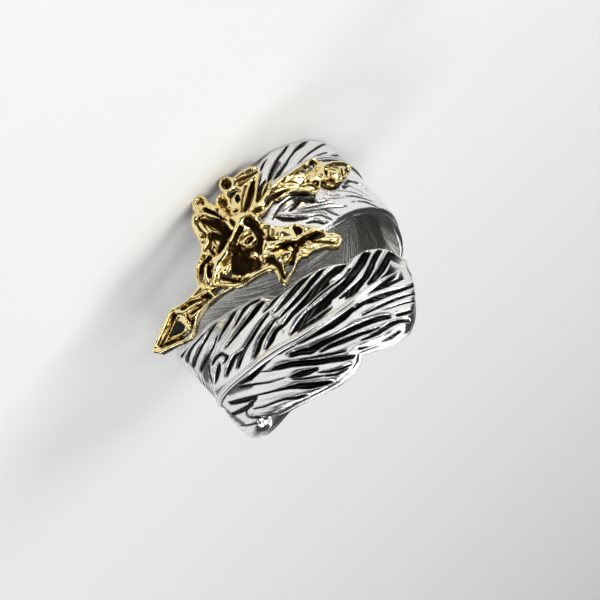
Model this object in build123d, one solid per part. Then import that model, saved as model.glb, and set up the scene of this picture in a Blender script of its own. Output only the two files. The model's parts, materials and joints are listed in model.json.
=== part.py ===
from build123d import *
import itertools
import math
import os

import numpy as np

# Driving dimensions, in millimetres
finger_diameter = 18.5
ring_height = 20.9
rim_wall = 1.65
spine_wall = 1.75
groove_depth = 0.42
quill_width = 0.8
quill_rise = 0.25
face_width = 10.0
head_thickness = 2.6
hollow_floor = 0.35
head_gap = 0.08
free_end_spring = 0.85
beak_depth = 0.6
inlay_gap = 0.05
rim_ease = 0.6

# Turns round the finger, in degrees, from the front of the ring
head_end_turn = -20.0
straight_turn = -12.0
quill_end_turn = 403.0
nose_turn = 415.0
hidden_pitch = 8.5
table_turn = 236.0

# Rounding of the head's valleys and of its hollows' lips, as shares of face_width
valley_round = 0.02
lip_round = 0.01

# How finely the castings are faceted
steps_along_barb = 8
head_facet = 0.42

finger_radius = finger_diameter / 2
head_rise = spine_wall + head_gap + head_thickness

# The quill's line: turn, height above the far rim as a share of ring_height
QUILL = [
    (-30, 0.180), (8, 0.177), (23, 0.155), (35, 0.143), (55, 0.125), (90, 0.165),
    (130, 0.215), (180, 0.285), (225, 0.400), (270, 0.525), (299, 0.592), (316, 0.640),
    (328, 0.670), (339, 0.700), (347, 0.727), (356, 0.747), (365, 0.761), (374, 0.766),
    (385, 0.762), (395, 0.758), (403, 0.756), (415, 0.716),
]

# The outline on the far side, on which the ring rests: turn, height share
FAR_EDGE = [
    (-30, 0.000), (215, 0.000), (235, 0.045), (250, 0.115), (262, 0.195), (272, 0.250),
    (288, 0.300), (302, 0.344), (308, 0.362), (314, 0.369), (324, 0.403), (331, 0.423),
    (338, 0.448), (345, 0.472), (350, 0.510), (357, 0.529), (363, 0.536), (370, 0.546),
    (378, 0.565), (384, 0.586), (389, 0.606), (392, 0.597), (397, 0.595), (403, 0.603),
    (409, 0.624), (413, 0.662), (415, 0.716),
]

# The outline on the near side
NEAR_EDGE = [
    (-30, 0.385), (-2, 0.385), (10, 0.412), (20, 0.430), (35, 0.431), (50, 0.423),
    (75, 0.430), (99, 0.435), (121, 0.488), (150, 0.490), (180, 0.507), (215, 0.598),
    (250, 0.700), (270, 0.752), (284, 0.790), (297, 0.822), (302, 0.809), (305, 0.830),
    (313, 0.871), (322, 0.905), (330, 0.935), (336, 0.958), (342, 0.977), (348, 0.992),
    (354, 1.000), (359, 0.992), (363, 0.966), (367, 0.972), (374, 0.988), (380, 1.000),
    (386, 0.994), (394, 0.963), (400, 0.918), (407, 0.850), (412, 0.778), (415, 0.716),
]

# How far the sprung free end stands off the finger: turn, share of free_end_spring.
# The quill and the near edge spring less than the far edge does.
SPRING = [(225, 0.0), (250, 0.7), (272, 1.0), (300, 0.7), (345, 0.0)]
quill_spring = 0.40
near_spring = 0.41

# How far a barb sweeps round between its root and its tip, where a loop makes it
SWEEP = [(-20, 18), (10, 29), (40, 38), (100, 55), (180, 75), (236, 84)]

# Barbs of the free feather's far side: root turn, tip turn, reach, depth of the cut before it
FAR_BARBS = [
    (240, 326, 1.00, 1.0), (248, 332, 1.00, 1.0), (257, 339, 1.00, 1.0),
    (264, 344, 1.00, 1.1), (270, 349, 1.03, 0.9), (277, 352, 0.93, 1.6),
    (284, 360, 1.00, 1.2), (296, 370, 1.00, 1.3), (309, 378, 1.00, 1.5),
    (321, 384, 1.00, 1.3), (335, 388, 0.97, 1.4), (348, 393, 1.00, 1.5),
    (361, 399, 1.00, 1.2), (371, 404, 1.00, 1.2), (380, 408, 1.00, 1.0),
    (388, 411, 1.00, 1.0), (395, 413, 1.00, 1.0), (400, 414.4, 1.00, 1.0),
]

# Barbs of its near side
NEAR_BARBS = [
    (240, 317, 1.00, 1.0), (249, 323, 1.00, 1.0), (257, 330, 1.00, 1.1),
    (265, 337, 1.00, 1.2), (275, 346, 1.00, 1.3), (287, 353, 1.00, 1.3),
    (300, 360, 1.03, 1.5), (308, 363, 0.96, 1.6), (313, 373, 1.00, 1.1),
    (320, 385, 1.00, 1.2), (328, 391, 1.00, 1.3), (338, 396, 1.00, 1.4),
    (349, 400, 1.00, 1.0), (361, 404, 1.00, 1.3), (373, 408, 1.00, 1.1),
    (384, 411, 1.00, 1.0), (393, 413, 1.00, 1.0), (399, 414.3, 1.00, 1.0),
]


def smooth(table, at):
    """Read a table of (position, value) rows as a smooth curve without overshoot."""
    if at <= table[0][0]:
        return table[0][1]
    if at >= table[-1][0]:
        return table[-1][1]
    slopes = [(b[1] - a[1]) / (b[0] - a[0]) for a, b in zip(table, table[1:])]
    i = max(k for k in range(len(slopes)) if table[k][0] <= at)
    before = slopes[max(i - 1, 0)]
    after = slopes[min(i + 1, len(slopes) - 1)]
    start = 0 if before * slopes[i] <= 0 else 2 * before * slopes[i] / (before + slopes[i])
    end = 0 if after * slopes[i] <= 0 else 2 * after * slopes[i] / (after + slopes[i])
    span = table[i + 1][0] - table[i][0]
    s = (at - table[i][0]) / span
    rise = table[i + 1][1] - table[i][1]
    blend = s * s * (3 - 2 * s)
    return table[i][1] + rise * blend + span * (start * s * (1 - s) ** 2 - end * s * s * (1 - s))


def band_height(turn, across):
    """Height of a point of the band; across is -1 at the far edge, 0 at the quill, 1 near."""
    quill = smooth(QUILL, turn) * ring_height
    edge = smooth(FAR_EDGE if across < 0 else NEAR_EDGE, turn) * ring_height
    side = math.copysign(quill_width / 2, across) if across else 0
    return quill + side + (edge - quill - side) * abs(across)


def band_crown(across):
    """Radius of the band's outer face over the barbs' crests."""
    return finger_radius + rim_wall + (spine_wall - rim_wall) * (1 - across * across)


def band_spring(turn, across):
    """How far the whole wall stands off the finger; across is negative on the far side."""
    edge = 1.0 if across < 0 else near_spring
    share = quill_spring + (edge - quill_spring) * across * across
    return free_end_spring * smooth(SPRING, turn) * share


def on_ring(turn, height, radius):
    """A point at a turn round the finger, a height along it and a distance from its axis."""
    angle = math.radians(turn)
    return (-radius * math.sin(angle), -radius * math.cos(angle), height)


def loop_barbs():
    """Barbs of the hidden stretch, evenly pitched from the head end on."""
    count = round((table_turn - head_end_turn) / hidden_pitch)
    rows = []
    for i in range(count):
        root = head_end_turn + (table_turn - head_end_turn) * i / count
        rows.append((root, root + smooth(SWEEP, root), 1.0, min(1.0, i / 3)))
    return rows


def barb_lines(rows, side):
    """Each barb's crest line and the groove line before it, from the quill to the edge."""
    lines = []
    previous = None
    for root, tip, reach, cut in rows:
        if previous:
            middle = ((previous[0] + root) / 2, (previous[1] + tip) / 2, (previous[2] + reach) / 2)
            lines.append(barb_line(middle[0], middle[1], middle[2], cut, side))
        lines.append(barb_line(root, tip, reach, 0, side))
        previous = (root, tip, reach)
    return lines


def barb_line(root, tip, reach, cut, side):
    """One line over the band as (turn, height, outer radius, inner radius) points."""
    points = []
    for j in range(steps_along_barb + 1):
        across = j / steps_along_barb
        turn = root + (tip - root) * across
        quill = smooth(QUILL, turn) * ring_height
        height = band_height(turn, side * max(across, 0.001))
        height = quill + (height - quill) * (1 + (reach - 1) * across ** 4)
        fade = min(1, 5 * across + 0.1) * min(1, 3.2 * (1 - across) + 0.25)
        outer = band_crown(across) - cut * groove_depth * fade
        spring = band_spring(turn, side * across)
        inner = finger_radius + rim_ease * across ** 8
        points.append((turn, height, outer + spring, inner + spring))
    return points


class Mesh:
    """Corner points and triangles of one closed casting."""

    def __init__(self):
        self.points = []
        self.triangles = []

    def line(self, points):
        first = len(self.points)
        self.points.extend(points)
        return list(range(first, len(self.points)))

    def strip(self, left, right, keys_left, keys_right, flip):
        """Fill between two lines of corners, stepping on whichever side lags."""
        i = j = 0
        while i < len(left) - 1 or j < len(right) - 1:
            step_left = j == len(right) - 1
            if i < len(left) - 1 and j < len(right) - 1:
                step_left = keys_left[i + 1] <= keys_right[j + 1]
            if step_left:
                corner = (left[i], left[i + 1], right[j])
                i += 1
            else:
                corner = (left[i], right[j + 1], right[j])
                j += 1
            self.triangles.append(corner[::-1] if flip else corner)

    def solid(self):
        faces = []
        for corner in self.triangles:
            outline = Wire.make_polygon([Vector(*self.points[k]) for k in corner], close=True)
            faces.append(Face(outline))
        return Solid(Shell(faces))


def feather_band():
    """The band: two vanes of barbs, the quill between them, a smooth bore and the rim."""
    hidden = loop_barbs()
    far = barb_lines(hidden + FAR_BARBS, -1)
    near = barb_lines(hidden + NEAR_BARBS, 1)
    last_root = max(far[-1][0][0], near[-1][0][0])
    spine = []
    turn = head_end_turn
    while turn < last_root:
        spring = band_spring(turn, 0)
        crest = band_crown(0) + quill_rise + spring
        spine.append((turn, band_height(turn, 0), crest, finger_radius + spring))
        turn += hidden_pitch / 2
    nose = []
    for j in range(steps_along_barb + 1):
        share = j / steps_along_barb
        turn = quill_end_turn + (nose_turn - quill_end_turn) * share
        crest = band_crown(share) + quill_rise * (1 - share)
        nose.append((turn, band_height(turn, 0), crest, finger_radius + rim_ease * share ** 8))
    mesh = Mesh()
    edges = []
    for layer, outward in ((2, True), (3, False)):
        def place(points):
            return mesh.line([on_ring(p[0], p[1], p[layer]) for p in points])
        far_ids = [place(line) for line in far]
        near_ids = [place(line) for line in near]
        spine_ids = place(spine)
        nose_ids = place(nose)
        steps = list(range(steps_along_barb + 1))
        for lines, flip in ((far_ids, outward), (near_ids, not outward)):
            for left, right in zip(lines, lines[1:]):
                mesh.strip(left, right, steps, [s + 0.5 for s in steps], flip)
            mesh.strip(lines[-1], nose_ids, steps, [s + 0.5 for s in steps], flip)
        centre = spine_ids + [nose_ids[0]]
        centre_turns = [p[0] for p in spine] + [quill_end_turn]
        far_roots = [line[0] for line in far_ids]
        near_roots = [line[0] for line in near_ids]
        mesh.strip(centre, far_roots + [nose_ids[0]], centre_turns,
                   [line[0][0] for line in far] + [quill_end_turn + 1], not outward)
        mesh.strip(near_roots + [nose_ids[0]], centre,
                   [line[0][0] for line in near] + [quill_end_turn + 1], centre_turns, not outward)
        start = near_ids[0][::-1] + [spine_ids[0]] + far_ids[0]
        rim = [line[-1] for line in far_ids[1:]] + [nose_ids[-1]]
        rim += [line[-1] for line in near_ids[:0:-1]]
        edges.append(start + rim)
    outer, inner = edges
    for i in range(len(outer)):
        k = (i + 1) % len(outer)
        mesh.triangles.append((outer[k], inner[i], outer[i]))
        mesh.triangles.append((inner[k], inner[i], outer[k]))
    mesh.triangles = [t for t in mesh.triangles if len(set(t)) == 3]
    return mesh.solid()


# Ridges of the head, modelled like clay. Each is a chain of (along, across, top, girth):
# along runs from the brow to the beak and across from far rim to jaw, as shares of
# face_width, like the girth; the top of the ridge is a share of head_rise over the bore.
HEAD_RIDGES = {
    "web": [(0.06, 0.20, 0.58, 0.12), (-0.20, 0.22, 0.58, 0.14), (-0.38, 0.22, 0.57, 0.10)],
    "plume_web": [(-0.04, 0.40, 0.62, 0.12), (-0.22, 0.40, 0.61, 0.09)],
    "brow_web": [(-0.02, 0.50, 0.62, 0.12), (-0.16, 0.55, 0.60, 0.08)],
    "ear_web": [(-0.20, 0.92, 0.57, 0.10), (-0.48, 0.97, 0.57, 0.08)],
    "face": [(0.12, 0.30, 0.60, 0.20), (0.05, 0.62, 0.68, 0.17), (0.22, 0.72, 0.66, 0.15)],
    "snout": [(0.25, 0.50, 0.64, 0.14), (0.46, 0.61, 0.60, 0.10)],
    "jaw": [(0.04, 0.86, 0.57, 0.13), (0.06, 0.96, 0.56, 0.08)],
    "nape": [(-0.06, 0.22, 0.57, 0.16), (-0.12, 0.42, 0.58, 0.14)],
    "nose": [(-0.07, 0.47, 1.00, 0.045), (0.08, 0.58, 0.96, 0.06), (0.18, 0.62, 0.92, 0.09),
             (0.30, 0.61, 0.86, 0.09), (0.39, 0.66, 0.80, 0.05), (0.50, 0.70, 0.70, 0.04)],
    "crown": [(-0.04, 0.45, 1.00, 0.05), (-0.10, 0.46, 0.98, 0.05), (-0.15, 0.50, 0.93, 0.045),
              (-0.15, 0.60, 0.84, 0.04)],
    "brow": [(0.19, 0.13, 0.72, 0.04), (0.13, 0.16, 0.75, 0.04), (0.07, 0.25, 0.78, 0.04),
             (0.03, 0.35, 0.84, 0.045), (-0.02, 0.45, 0.96, 0.05)],
    "side": [(0.19, 0.13, 0.70, 0.045), (0.27, 0.19, 0.67, 0.05), (0.31, 0.30, 0.64, 0.04),
             (0.35, 0.40, 0.66, 0.045), (0.48, 0.44, 0.66, 0.04), (0.53, 0.52, 0.63, 0.045),
             (0.62, 0.58, 0.60, 0.04)],
    "inner_side": [(0.19, 0.19, 0.65, 0.03), (0.23, 0.33, 0.66, 0.03), (0.30, 0.41, 0.68, 0.035)],
    "between_nostrils": [(0.36, 0.52, 0.78, 0.045), (0.48, 0.65, 0.70, 0.04)],
    "beak": [(0.52, 0.66, 0.55, 0.10), (0.70, 0.67, 0.54, 0.08), (0.90, 0.69, 0.52, 0.13),
             (1.08, 0.69, 0.50, 0.08), (1.24, 0.675, 0.48, 0.03)],
    "beak_loop": [(0.69, 0.60, 0.61, 0.03), (0.59, 0.61, 0.66, 0.035), (0.52, 0.67, 0.68, 0.035),
                  (0.53, 0.75, 0.66, 0.035), (0.60, 0.75, 0.64, 0.03)],
    "beak_far_rim": [(0.64, 0.59, 0.60, 0.035), (0.76, 0.57, 0.58, 0.035), (0.89, 0.54, 0.58, 0.04),
                     (0.97, 0.54, 0.58, 0.045), (1.10, 0.60, 0.56, 0.045), (1.25, 0.67, 0.54, 0.04)],
    "beak_near_rim": [(0.55, 0.75, 0.60, 0.03), (0.66, 0.74, 0.58, 0.03), (0.82, 0.79, 0.57, 0.035),
                      (0.90, 0.84, 0.56, 0.035), (0.98, 0.83, 0.56, 0.04), (1.12, 0.765, 0.55, 0.045),
                      (1.25, 0.69, 0.54, 0.04)],
    "beak_fold": [(0.80, 0.62, 0.60, 0.03), (0.64, 0.69, 0.62, 0.03)],
    "beak_fold_low": [(0.83, 0.70, 0.58, 0.025), (0.71, 0.74, 0.60, 0.025)],
    "drop_rim": [(1.09, 0.69, 0.56, 0.025), (0.98, 0.62, 0.58, 0.025), (0.90, 0.61, 0.59, 0.03),
                 (0.85, 0.66, 0.58, 0.025), (0.86, 0.74, 0.57, 0.025), (0.93, 0.77, 0.56, 0.025),
                 (1.09, 0.69, 0.56, 0.025)],
    "jaw_rim": [(0.02, 1.10, 0.62, 0.03), (0.00, 1.00, 0.68, 0.045), (0.03, 0.94, 0.70, 0.045),
                (0.11, 0.90, 0.70, 0.045), (0.29, 0.86, 0.68, 0.045), (0.37, 0.77, 0.68, 0.045),
                (0.48, 0.70, 0.68, 0.045)],
    "far_knob": [(0.19, 0.11, 0.62, 0.05), (0.16, 0.06, 0.60, 0.055), (0.08, 0.055, 0.60, 0.05),
                 (0.03, 0.09, 0.62, 0.05), (0.11, 0.12, 0.58, 0.06)],
    "bar": [(0.04, 0.10, 0.66, 0.045), (0.00, 0.25, 0.74, 0.05), (-0.03, 0.42, 0.92, 0.05)],
    "round_knob": [(-0.14, 0.09, 0.58, 0.05), (-0.20, 0.06, 0.58, 0.05), (-0.26, 0.09, 0.57, 0.05),
                   (-0.20, 0.13, 0.57, 0.05), (-0.14, 0.09, 0.58, 0.05)],
    "pips": [(0.02, 0.21, 0.62, 0.06), (-0.06, 0.17, 0.58, 0.06), (-0.17, 0.24, 0.58, 0.065),
             (-0.09, 0.32, 0.66, 0.06)],
    "long_lobe": [(-0.12, 0.13, 0.57, 0.05), (-0.28, 0.08, 0.57, 0.055), (-0.43, 0.08, 0.57, 0.055),
                  (-0.50, 0.12, 0.56, 0.045), (-0.34, 0.17, 0.56, 0.04)],
    "crest_a": [(-0.07, 0.38, 0.70, 0.03), (-0.20, 0.29, 0.62, 0.03), (-0.36, 0.18, 0.58, 0.035)],
    "crest_b": [(-0.13, 0.42, 0.76, 0.03), (-0.24, 0.36, 0.65, 0.03), (-0.42, 0.24, 0.58, 0.035)],
    "crest_c": [(-0.20, 0.43, 0.72, 0.03), (-0.34, 0.36, 0.63, 0.03), (-0.50, 0.25, 0.58, 0.035)],
    "plume": [(-0.13, 0.46, 0.90, 0.04), (-0.24, 0.44, 0.74, 0.035), (-0.34, 0.40, 0.67, 0.035),
              (-0.48, 0.36, 0.63, 0.035), (-0.81, 0.34, 0.58, 0.035), (-0.97, 0.35, 0.56, 0.035)],
    "plume_barb": [(-0.41, 0.38, 0.59, 0.03), (-0.56, 0.39, 0.58, 0.03), (-0.70, 0.44, 0.58, 0.03),
                   (-0.86, 0.50, 0.57, 0.035)],
    "plume_edge": [(-0.22, 0.47, 0.62, 0.03), (-0.42, 0.43, 0.59, 0.03), (-0.56, 0.45, 0.58, 0.03),
                   (-0.69, 0.51, 0.57, 0.035), (-0.80, 0.57, 0.56, 0.035)],
    "plume_vane": [(-0.22, 0.42, 0.60, 0.05), (-0.60, 0.41, 0.60, 0.06), (-0.82, 0.45, 0.58, 0.10)],
    "bud": [(-0.86, 0.41, 0.54, 0.07), (-1.06, 0.43, 0.57, 0.10), (-1.22, 0.44, 0.60, 0.10),
            (-1.35, 0.43, 0.56, 0.06)],
    "fork_far": [(-0.15, 0.52, 0.72, 0.035), (-0.30, 0.52, 0.60, 0.03), (-0.46, 0.51, 0.57, 0.035)],
    "fork_near": [(-0.16, 0.58, 0.70, 0.035), (-0.23, 0.67, 0.64, 0.035), (-0.40, 0.79, 0.62, 0.04),
                  (-0.54, 0.88, 0.58, 0.04)],
    "ear": [(-0.10, 0.73, 0.66, 0.09), (-0.22, 0.80, 0.65, 0.09), (-0.38, 0.87, 0.65, 0.08),
            (-0.50, 0.94, 0.60, 0.05)],
    "ear_root": [(-0.05, 0.90, 0.57, 0.11), (-0.20, 0.97, 0.57, 0.09), (-0.36, 0.99, 0.56, 0.06)],
    "ear_horn": [(-0.26, 1.02, 0.57, 0.05), (-0.42, 1.04, 0.58, 0.05), (-0.54, 1.06, 0.61, 0.055),
                 (-0.58, 1.07, 0.58, 0.05)],
    "ear_ridge": [(0.00, 0.83, 0.75, 0.04), (-0.10, 0.86, 0.73, 0.035), (-0.31, 0.92, 0.67, 0.03)],
    "ear_lobe": [(-0.10, 0.93, 0.62, 0.05), (-0.15, 0.98, 0.60, 0.04)],
    "eye": [(0.05, 0.57, 0.80, 0.035), (-0.05, 0.60, 0.82, 0.035), (-0.04, 0.68, 0.82, 0.035),
            (0.05, 0.70, 0.80, 0.035), (0.05, 0.57, 0.80, 0.035)],
    "mane": [(-0.16, 0.65, 0.76, 0.04), (-0.15, 0.74, 0.76, 0.04), (-0.22, 0.76, 0.74, 0.035),
             (-0.08, 0.80, 0.76, 0.035)],
}

# Hollows of the head, cut from above. The third value is the depth that the cut reaches.
HEAD_HOLLOWS = {
    "socket": [(0.17, 0.21, 0.54, 0.04), (0.10, 0.34, 0.53, 0.09), (0.17, 0.45, 0.54, 0.06)],
    "cheek": [(0.00, 0.60, 0.64, 0.13), (0.16, 0.74, 0.58, 0.12)],
    "under_cheek": [(0.34, 0.73, 0.50, 0.02), (0.20, 0.83, 0.50, 0.03), (0.00, 0.90, 0.48, 0.03)],
    "nostril_far": [(0.36, 0.46, 0.54, 0.024), (0.48, 0.53, 0.52, 0.022)],
    "nostril_near": [(0.35, 0.57, 0.60, 0.02), (0.44, 0.62, 0.58, 0.02)],
    "beak_root": [(0.57, 0.68, 0.48, 0.035), (0.64, 0.67, 0.46, 0.03)],
    "beak_slit": [(0.75, 0.67, 0.47, 0.02), (0.66, 0.72, 0.47, 0.02)],
    "beak_far_groove": [(0.92, 0.585, 0.45, 0.018), (1.08, 0.635, 0.44, 0.018), (1.18, 0.665, 0.44, 0.014)],
    "beak_near_groove": [(0.86, 0.77, 0.45, 0.02), (0.98, 0.79, 0.44, 0.02), (1.12, 0.72, 0.44, 0.018)],
    "far_knob": [(0.10, 0.075, 0.48, 0.032), (0.10, 0.08, 0.48, 0.032)],
    "bar_slot": [(0.10, 0.13, 0.52, 0.02), (0.03, 0.31, 0.60, 0.02)],
    "round_knob": [(-0.20, 0.09, 0.44, 0.035), (-0.20, 0.10, 0.44, 0.035)],
    "pip_a": [(-0.06, 0.17, 0.48, 0.028), (-0.07, 0.17, 0.48, 0.028)],
    "pip_b": [(-0.17, 0.24, 0.48, 0.03), (-0.18, 0.24, 0.48, 0.03)],
    "long_slot": [(-0.24, 0.135, 0.42, 0.02), (-0.42, 0.125, 0.41, 0.02)],
    "crest_slit_a": [(-0.11, 0.39, 0.56, 0.02), (-0.24, 0.31, 0.46, 0.024), (-0.40, 0.20, 0.40, 0.02)],
    "crest_slit_b": [(-0.24, 0.40, 0.52, 0.018), (-0.38, 0.31, 0.44, 0.022), (-0.50, 0.22, 0.40, 0.018)],
    "ear_pit": [(-0.36, 0.82, 0.46, 0.035), (-0.37, 0.83, 0.46, 0.035)],
    "ear_crease": [(-0.20, 0.90, 0.48, 0.022), (-0.40, 0.95, 0.45, 0.025), (-0.54, 0.99, 0.46, 0.018)],
    "plume_wedge": [(-0.58, 0.42, 0.42, 0.02), (-0.76, 0.48, 0.42, 0.028)],
    "bud_pit_a": [(-0.96, 0.46, 0.48, 0.03), (-1.04, 0.47, 0.48, 0.03)],
    "bud_pit_b": [(-1.18, 0.46, 0.50, 0.03), (-1.20, 0.46, 0.50, 0.03)],
    "pupil": [(-0.01, 0.65, 0.62, 0.02), (-0.01, 0.66, 0.62, 0.02)],
}

# The black drop in the beak: where it is fat, where it ends, and how far its pocket reaches
DROP_FAT = (0.925, 0.690, 0.052)
DROP_POINT = (1.035, 0.695, 0.012)
drop_floor = 0.44
drop_top = 0.55


def clay_distance(along, across, up, node_a, node_b, upward):
    """Distance to a tapered stroke; a ridge is filled below, a hollow is open above."""
    ax, ay, az, ar = node_a
    bx, by, bz, br = node_b
    dx, dy = bx - ax, by - ay
    length = max(dx * dx + dy * dy, 1e-9)
    s = np.clip(((along - ax) * dx + (across - ay) * dy) / length, 0, 1)
    radius = ar + (br - ar) * s
    level = az + (bz - az) * s
    level = level + radius if upward else level - radius
    lift = level - up if upward else up - level
    flat = (along - ax - dx * s) ** 2 + (across - ay - dy * s) ** 2
    return np.sqrt(flat + np.maximum(lift, 0) ** 2) - radius


def sized(chain):
    """A chain of the tables above in millimetres."""
    return [(a * face_width, b * face_width, c * head_rise, d * face_width) for a, b, c, d in chain]


def melt(a, b, amount):
    """Union of two distances with a rounded valley."""
    h = np.clip(0.5 + 0.5 * (b - a) / amount, 0, 1)
    return b + (a - b) * h - amount * h * (1 - h)


def seat_rise(along, across):
    """Rise over the bore of the face that the head sits on: the band's crests and a gap.
    Past the band's end the free beak is deeper by beak_depth."""
    reference = finger_radius + spine_wall
    flat_along = np.atleast_1d(along)
    rises = np.empty_like(flat_along, dtype=float)
    for k, (a, b) in enumerate(zip(flat_along, np.atleast_1d(across))):
        turn = -math.degrees(a / reference)
        quill = smooth(QUILL, turn) * ring_height
        edge = smooth(FAR_EDGE if b < quill else NEAR_EDGE, turn) * ring_height
        share = min(1.0, max(0.0, (b - quill) / (edge - quill)))
        rises[k] = band_crown(share) - finger_radius
        rises[k] += quill_rise * max(0.0, 1 - abs(b - quill) / quill_width)
        past_end = a - math.radians(-head_end_turn) * reference - 2 * head_gap
        rises[k] -= beak_depth * min(1.0, max(0.0, past_end / beak_depth))
    return rises + head_gap


def wrap(along, across, rise):
    """Lay a point of the flat head round the ring, or straight out past the beak's root."""
    reference = finger_radius + spine_wall
    end = math.radians(-straight_turn)
    angle = np.minimum(along / reference, end)
    straight = np.maximum(along - end * reference, 0)
    radius = finger_radius + rise
    x = radius * np.sin(angle) + straight * math.cos(end)
    y = -radius * np.cos(angle) + straight * math.sin(end)
    return np.stack([x, y, np.maximum(across, 0)], axis=1)


def clean_signs(inside):
    """Fill corners until each cell has one surface only, so that the skin is a closed one.
    The clay also stays filled down to the seat, which lies under the third layer."""
    corners = list(itertools.product((0, 1), repeat=3))

    def linked(group):
        if not group:
            return True
        seen = {group[0]}
        queue = [group[0]]
        while queue:
            here = queue.pop()
            for other in group:
                if other not in seen and sum(p != q for p, q in zip(here, other)) == 1:
                    seen.add(other)
                    queue.append(other)
        return len(seen) == len(group)

    simple = np.zeros(256, bool)
    for code in range(256):
        full = [c for k, c in enumerate(corners) if code >> k & 1]
        empty = [c for k, c in enumerate(corners) if not code >> k & 1]
        simple[code] = linked(full) and linked(empty)
    size = inside.shape
    while True:
        inside[:, :, 2:] = np.logical_or.accumulate(inside[:, :, :1:-1], axis=2)[:, :, ::-1]
        code = np.zeros([n - 1 for n in size], int)
        for k, (i, j, m) in enumerate(corners):
            code += inside[i:size[0] - 1 + i, j:size[1] - 1 + j, m:size[2] - 1 + m].astype(int) << k
        bad = np.argwhere(~simple[code])
        if len(bad) == 0:
            return inside
        for i, j, m in bad:
            inside[i:i + 2, j:j + 2, m:m + 2] = True


def skin(field, origin, step):
    """Points and triangles of the surface where a gridded distance field is zero."""
    inside = clean_signs(field < 0)
    field = np.where(inside, np.minimum(field, -0.02 * step), np.maximum(field, 0.02 * step))
    size = np.array(field.shape)
    corners = list(itertools.product((0, 1), repeat=3))
    edges = [(p, q) for p in corners for q in corners if p < q and sum(a != b for a, b in zip(p, q)) == 1]
    total = np.zeros(list(size - 1) + [3])
    count = np.zeros(size - 1)
    for p, q in edges:
        fp = field[p[0]:size[0] - 1 + p[0], p[1]:size[1] - 1 + p[1], p[2]:size[2] - 1 + p[2]]
        fq = field[q[0]:size[0] - 1 + q[0], q[1]:size[1] - 1 + q[1], q[2]:size[2] - 1 + q[2]]
        cut = (fp < 0) != (fq < 0)
        share = np.where(cut, fp / np.where(cut, fp - fq, 1), 0)
        for axis in range(3):
            total[..., axis] += np.where(cut, p[axis] + share * (q[axis] - p[axis]), 0)
        count += cut
    cells = np.argwhere(count > 0)
    index = -np.ones(size - 1, int)
    index[tuple(cells.T)] = np.arange(len(cells))
    mean = total[tuple(cells.T)] / count[tuple(cells.T)][:, None]
    points = np.array(origin) + (cells + mean) * step
    triangles = []
    for axis in range(3):
        u, v = (axis + 1) % 3, (axis + 2) % 3
        low = [slice(None)] * 3
        high = [slice(None)] * 3
        low[axis] = slice(0, -1)
        high[axis] = slice(1, None)
        here, there = field[tuple(low)] < 0, field[tuple(high)] < 0
        for at in np.argwhere(here != there):
            ring = []
            for du, dv in ((-1, -1), (0, -1), (0, 0), (-1, 0)):
                cell = at.copy()
                cell[u] += du
                cell[v] += dv
                ring.append(index[tuple(cell)])
            if not here[tuple(at)]:
                ring.reverse()
            triangles.append((ring[0], ring[1], ring[2]))
            triangles.append((ring[0], ring[2], ring[3]))
    return points, triangles


def head_field(along, across, up, seat):
    """The head's clay as distances: ridges melted together, then the hollows cut.
    The hollows end at hollow_floor over the seat."""
    body = np.full(along.shape, 9.0)
    for chain in HEAD_RIDGES.values():
        nodes = sized(chain)
        for a, b in zip(nodes, nodes[1:]):
            ridge = clay_distance(along, across, up, a, b, False)
            body = melt(body, ridge, valley_round * face_width)
    sole = np.maximum(body, up - seat - hollow_floor)
    for chain in HEAD_HOLLOWS.values():
        nodes = sized(chain)
        for a, b in zip(nodes, nodes[1:]):
            cut = clay_distance(along, across, up, a, b, True)
            body = -melt(-body, cut, lip_round * face_width)
    return np.maximum(np.minimum(body, sole), seat - up)


def drop_slab(grown, low, high):
    """A slab with the drop's outline, grown by a gap, between two rises over the bore."""
    end = math.radians(-straight_turn)
    start = end * (finger_radius + spine_wall)
    beak_plane = Plane(origin=(0, 0, 0), x_dir=(math.cos(end), math.sin(end), 0),
                       z_dir=(math.sin(end), -math.cos(end), 0))
    rounds = Sketch()
    for along, across, girth in (DROP_FAT, DROP_POINT):
        place = Location((along * face_width - start, across * face_width))
        rounds += place * Circle(girth * face_width + grown)
    outline = make_hull(rounds.edges())
    return beak_plane, extrude(Plane.XY.offset(finger_radius + low) * outline, amount=high - low)


def phoenix_head():
    """The gold toned head: one casting seated on the band's outer face."""
    nodes = [node for chain in HEAD_RIDGES.values() for node in sized(chain)]
    low = np.array([min(n[0] - n[3] for n in nodes), min(n[1] - n[3] for n in nodes), 0])
    high = np.array([max(n[0] + n[3] for n in nodes), max(n[1] + n[3] for n in nodes),
                     head_rise - rim_wall + beak_depth])
    low -= (2.5 * head_facet, 2.5 * head_facet, 1.5 * head_facet)
    count = np.ceil((high - low) / head_facet).astype(int) + 4
    axes = [low[k] + head_facet * np.arange(count[k]) for k in range(3)]
    flat_a, flat_b = np.meshgrid(axes[0], axes[1], indexing="ij")
    seat = seat_rise(flat_a.ravel(), flat_b.ravel()).reshape(flat_a.shape)
    along, across, lift = np.meshgrid(*axes, indexing="ij")
    field = head_field(along, across, seat[:, :, None] + lift, seat[:, :, None])
    points, triangles = skin(field, low, head_facet)
    points[:, 2] = seat_rise(points[:, 0], points[:, 1]) + np.maximum(points[:, 2], 0)
    mesh = Mesh()
    mesh.points = [tuple(p) for p in wrap(points[:, 0], points[:, 1], points[:, 2])]
    mesh.triangles = triangles
    plane, pocket = drop_slab(inlay_gap, drop_floor * head_rise - inlay_gap, head_rise)
    return mesh.solid() - plane * pocket


def beak_inlay():
    """The black drop: a slab with a rounded face, let into its pocket in the beak."""
    plane, slab = drop_slab(0, drop_floor * head_rise, drop_top * head_rise)
    rim = slab.edges().group_by(Axis.Z)[-1]
    return plane * fillet(rim, DROP_POINT[2] * face_width * 0.8)


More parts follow.
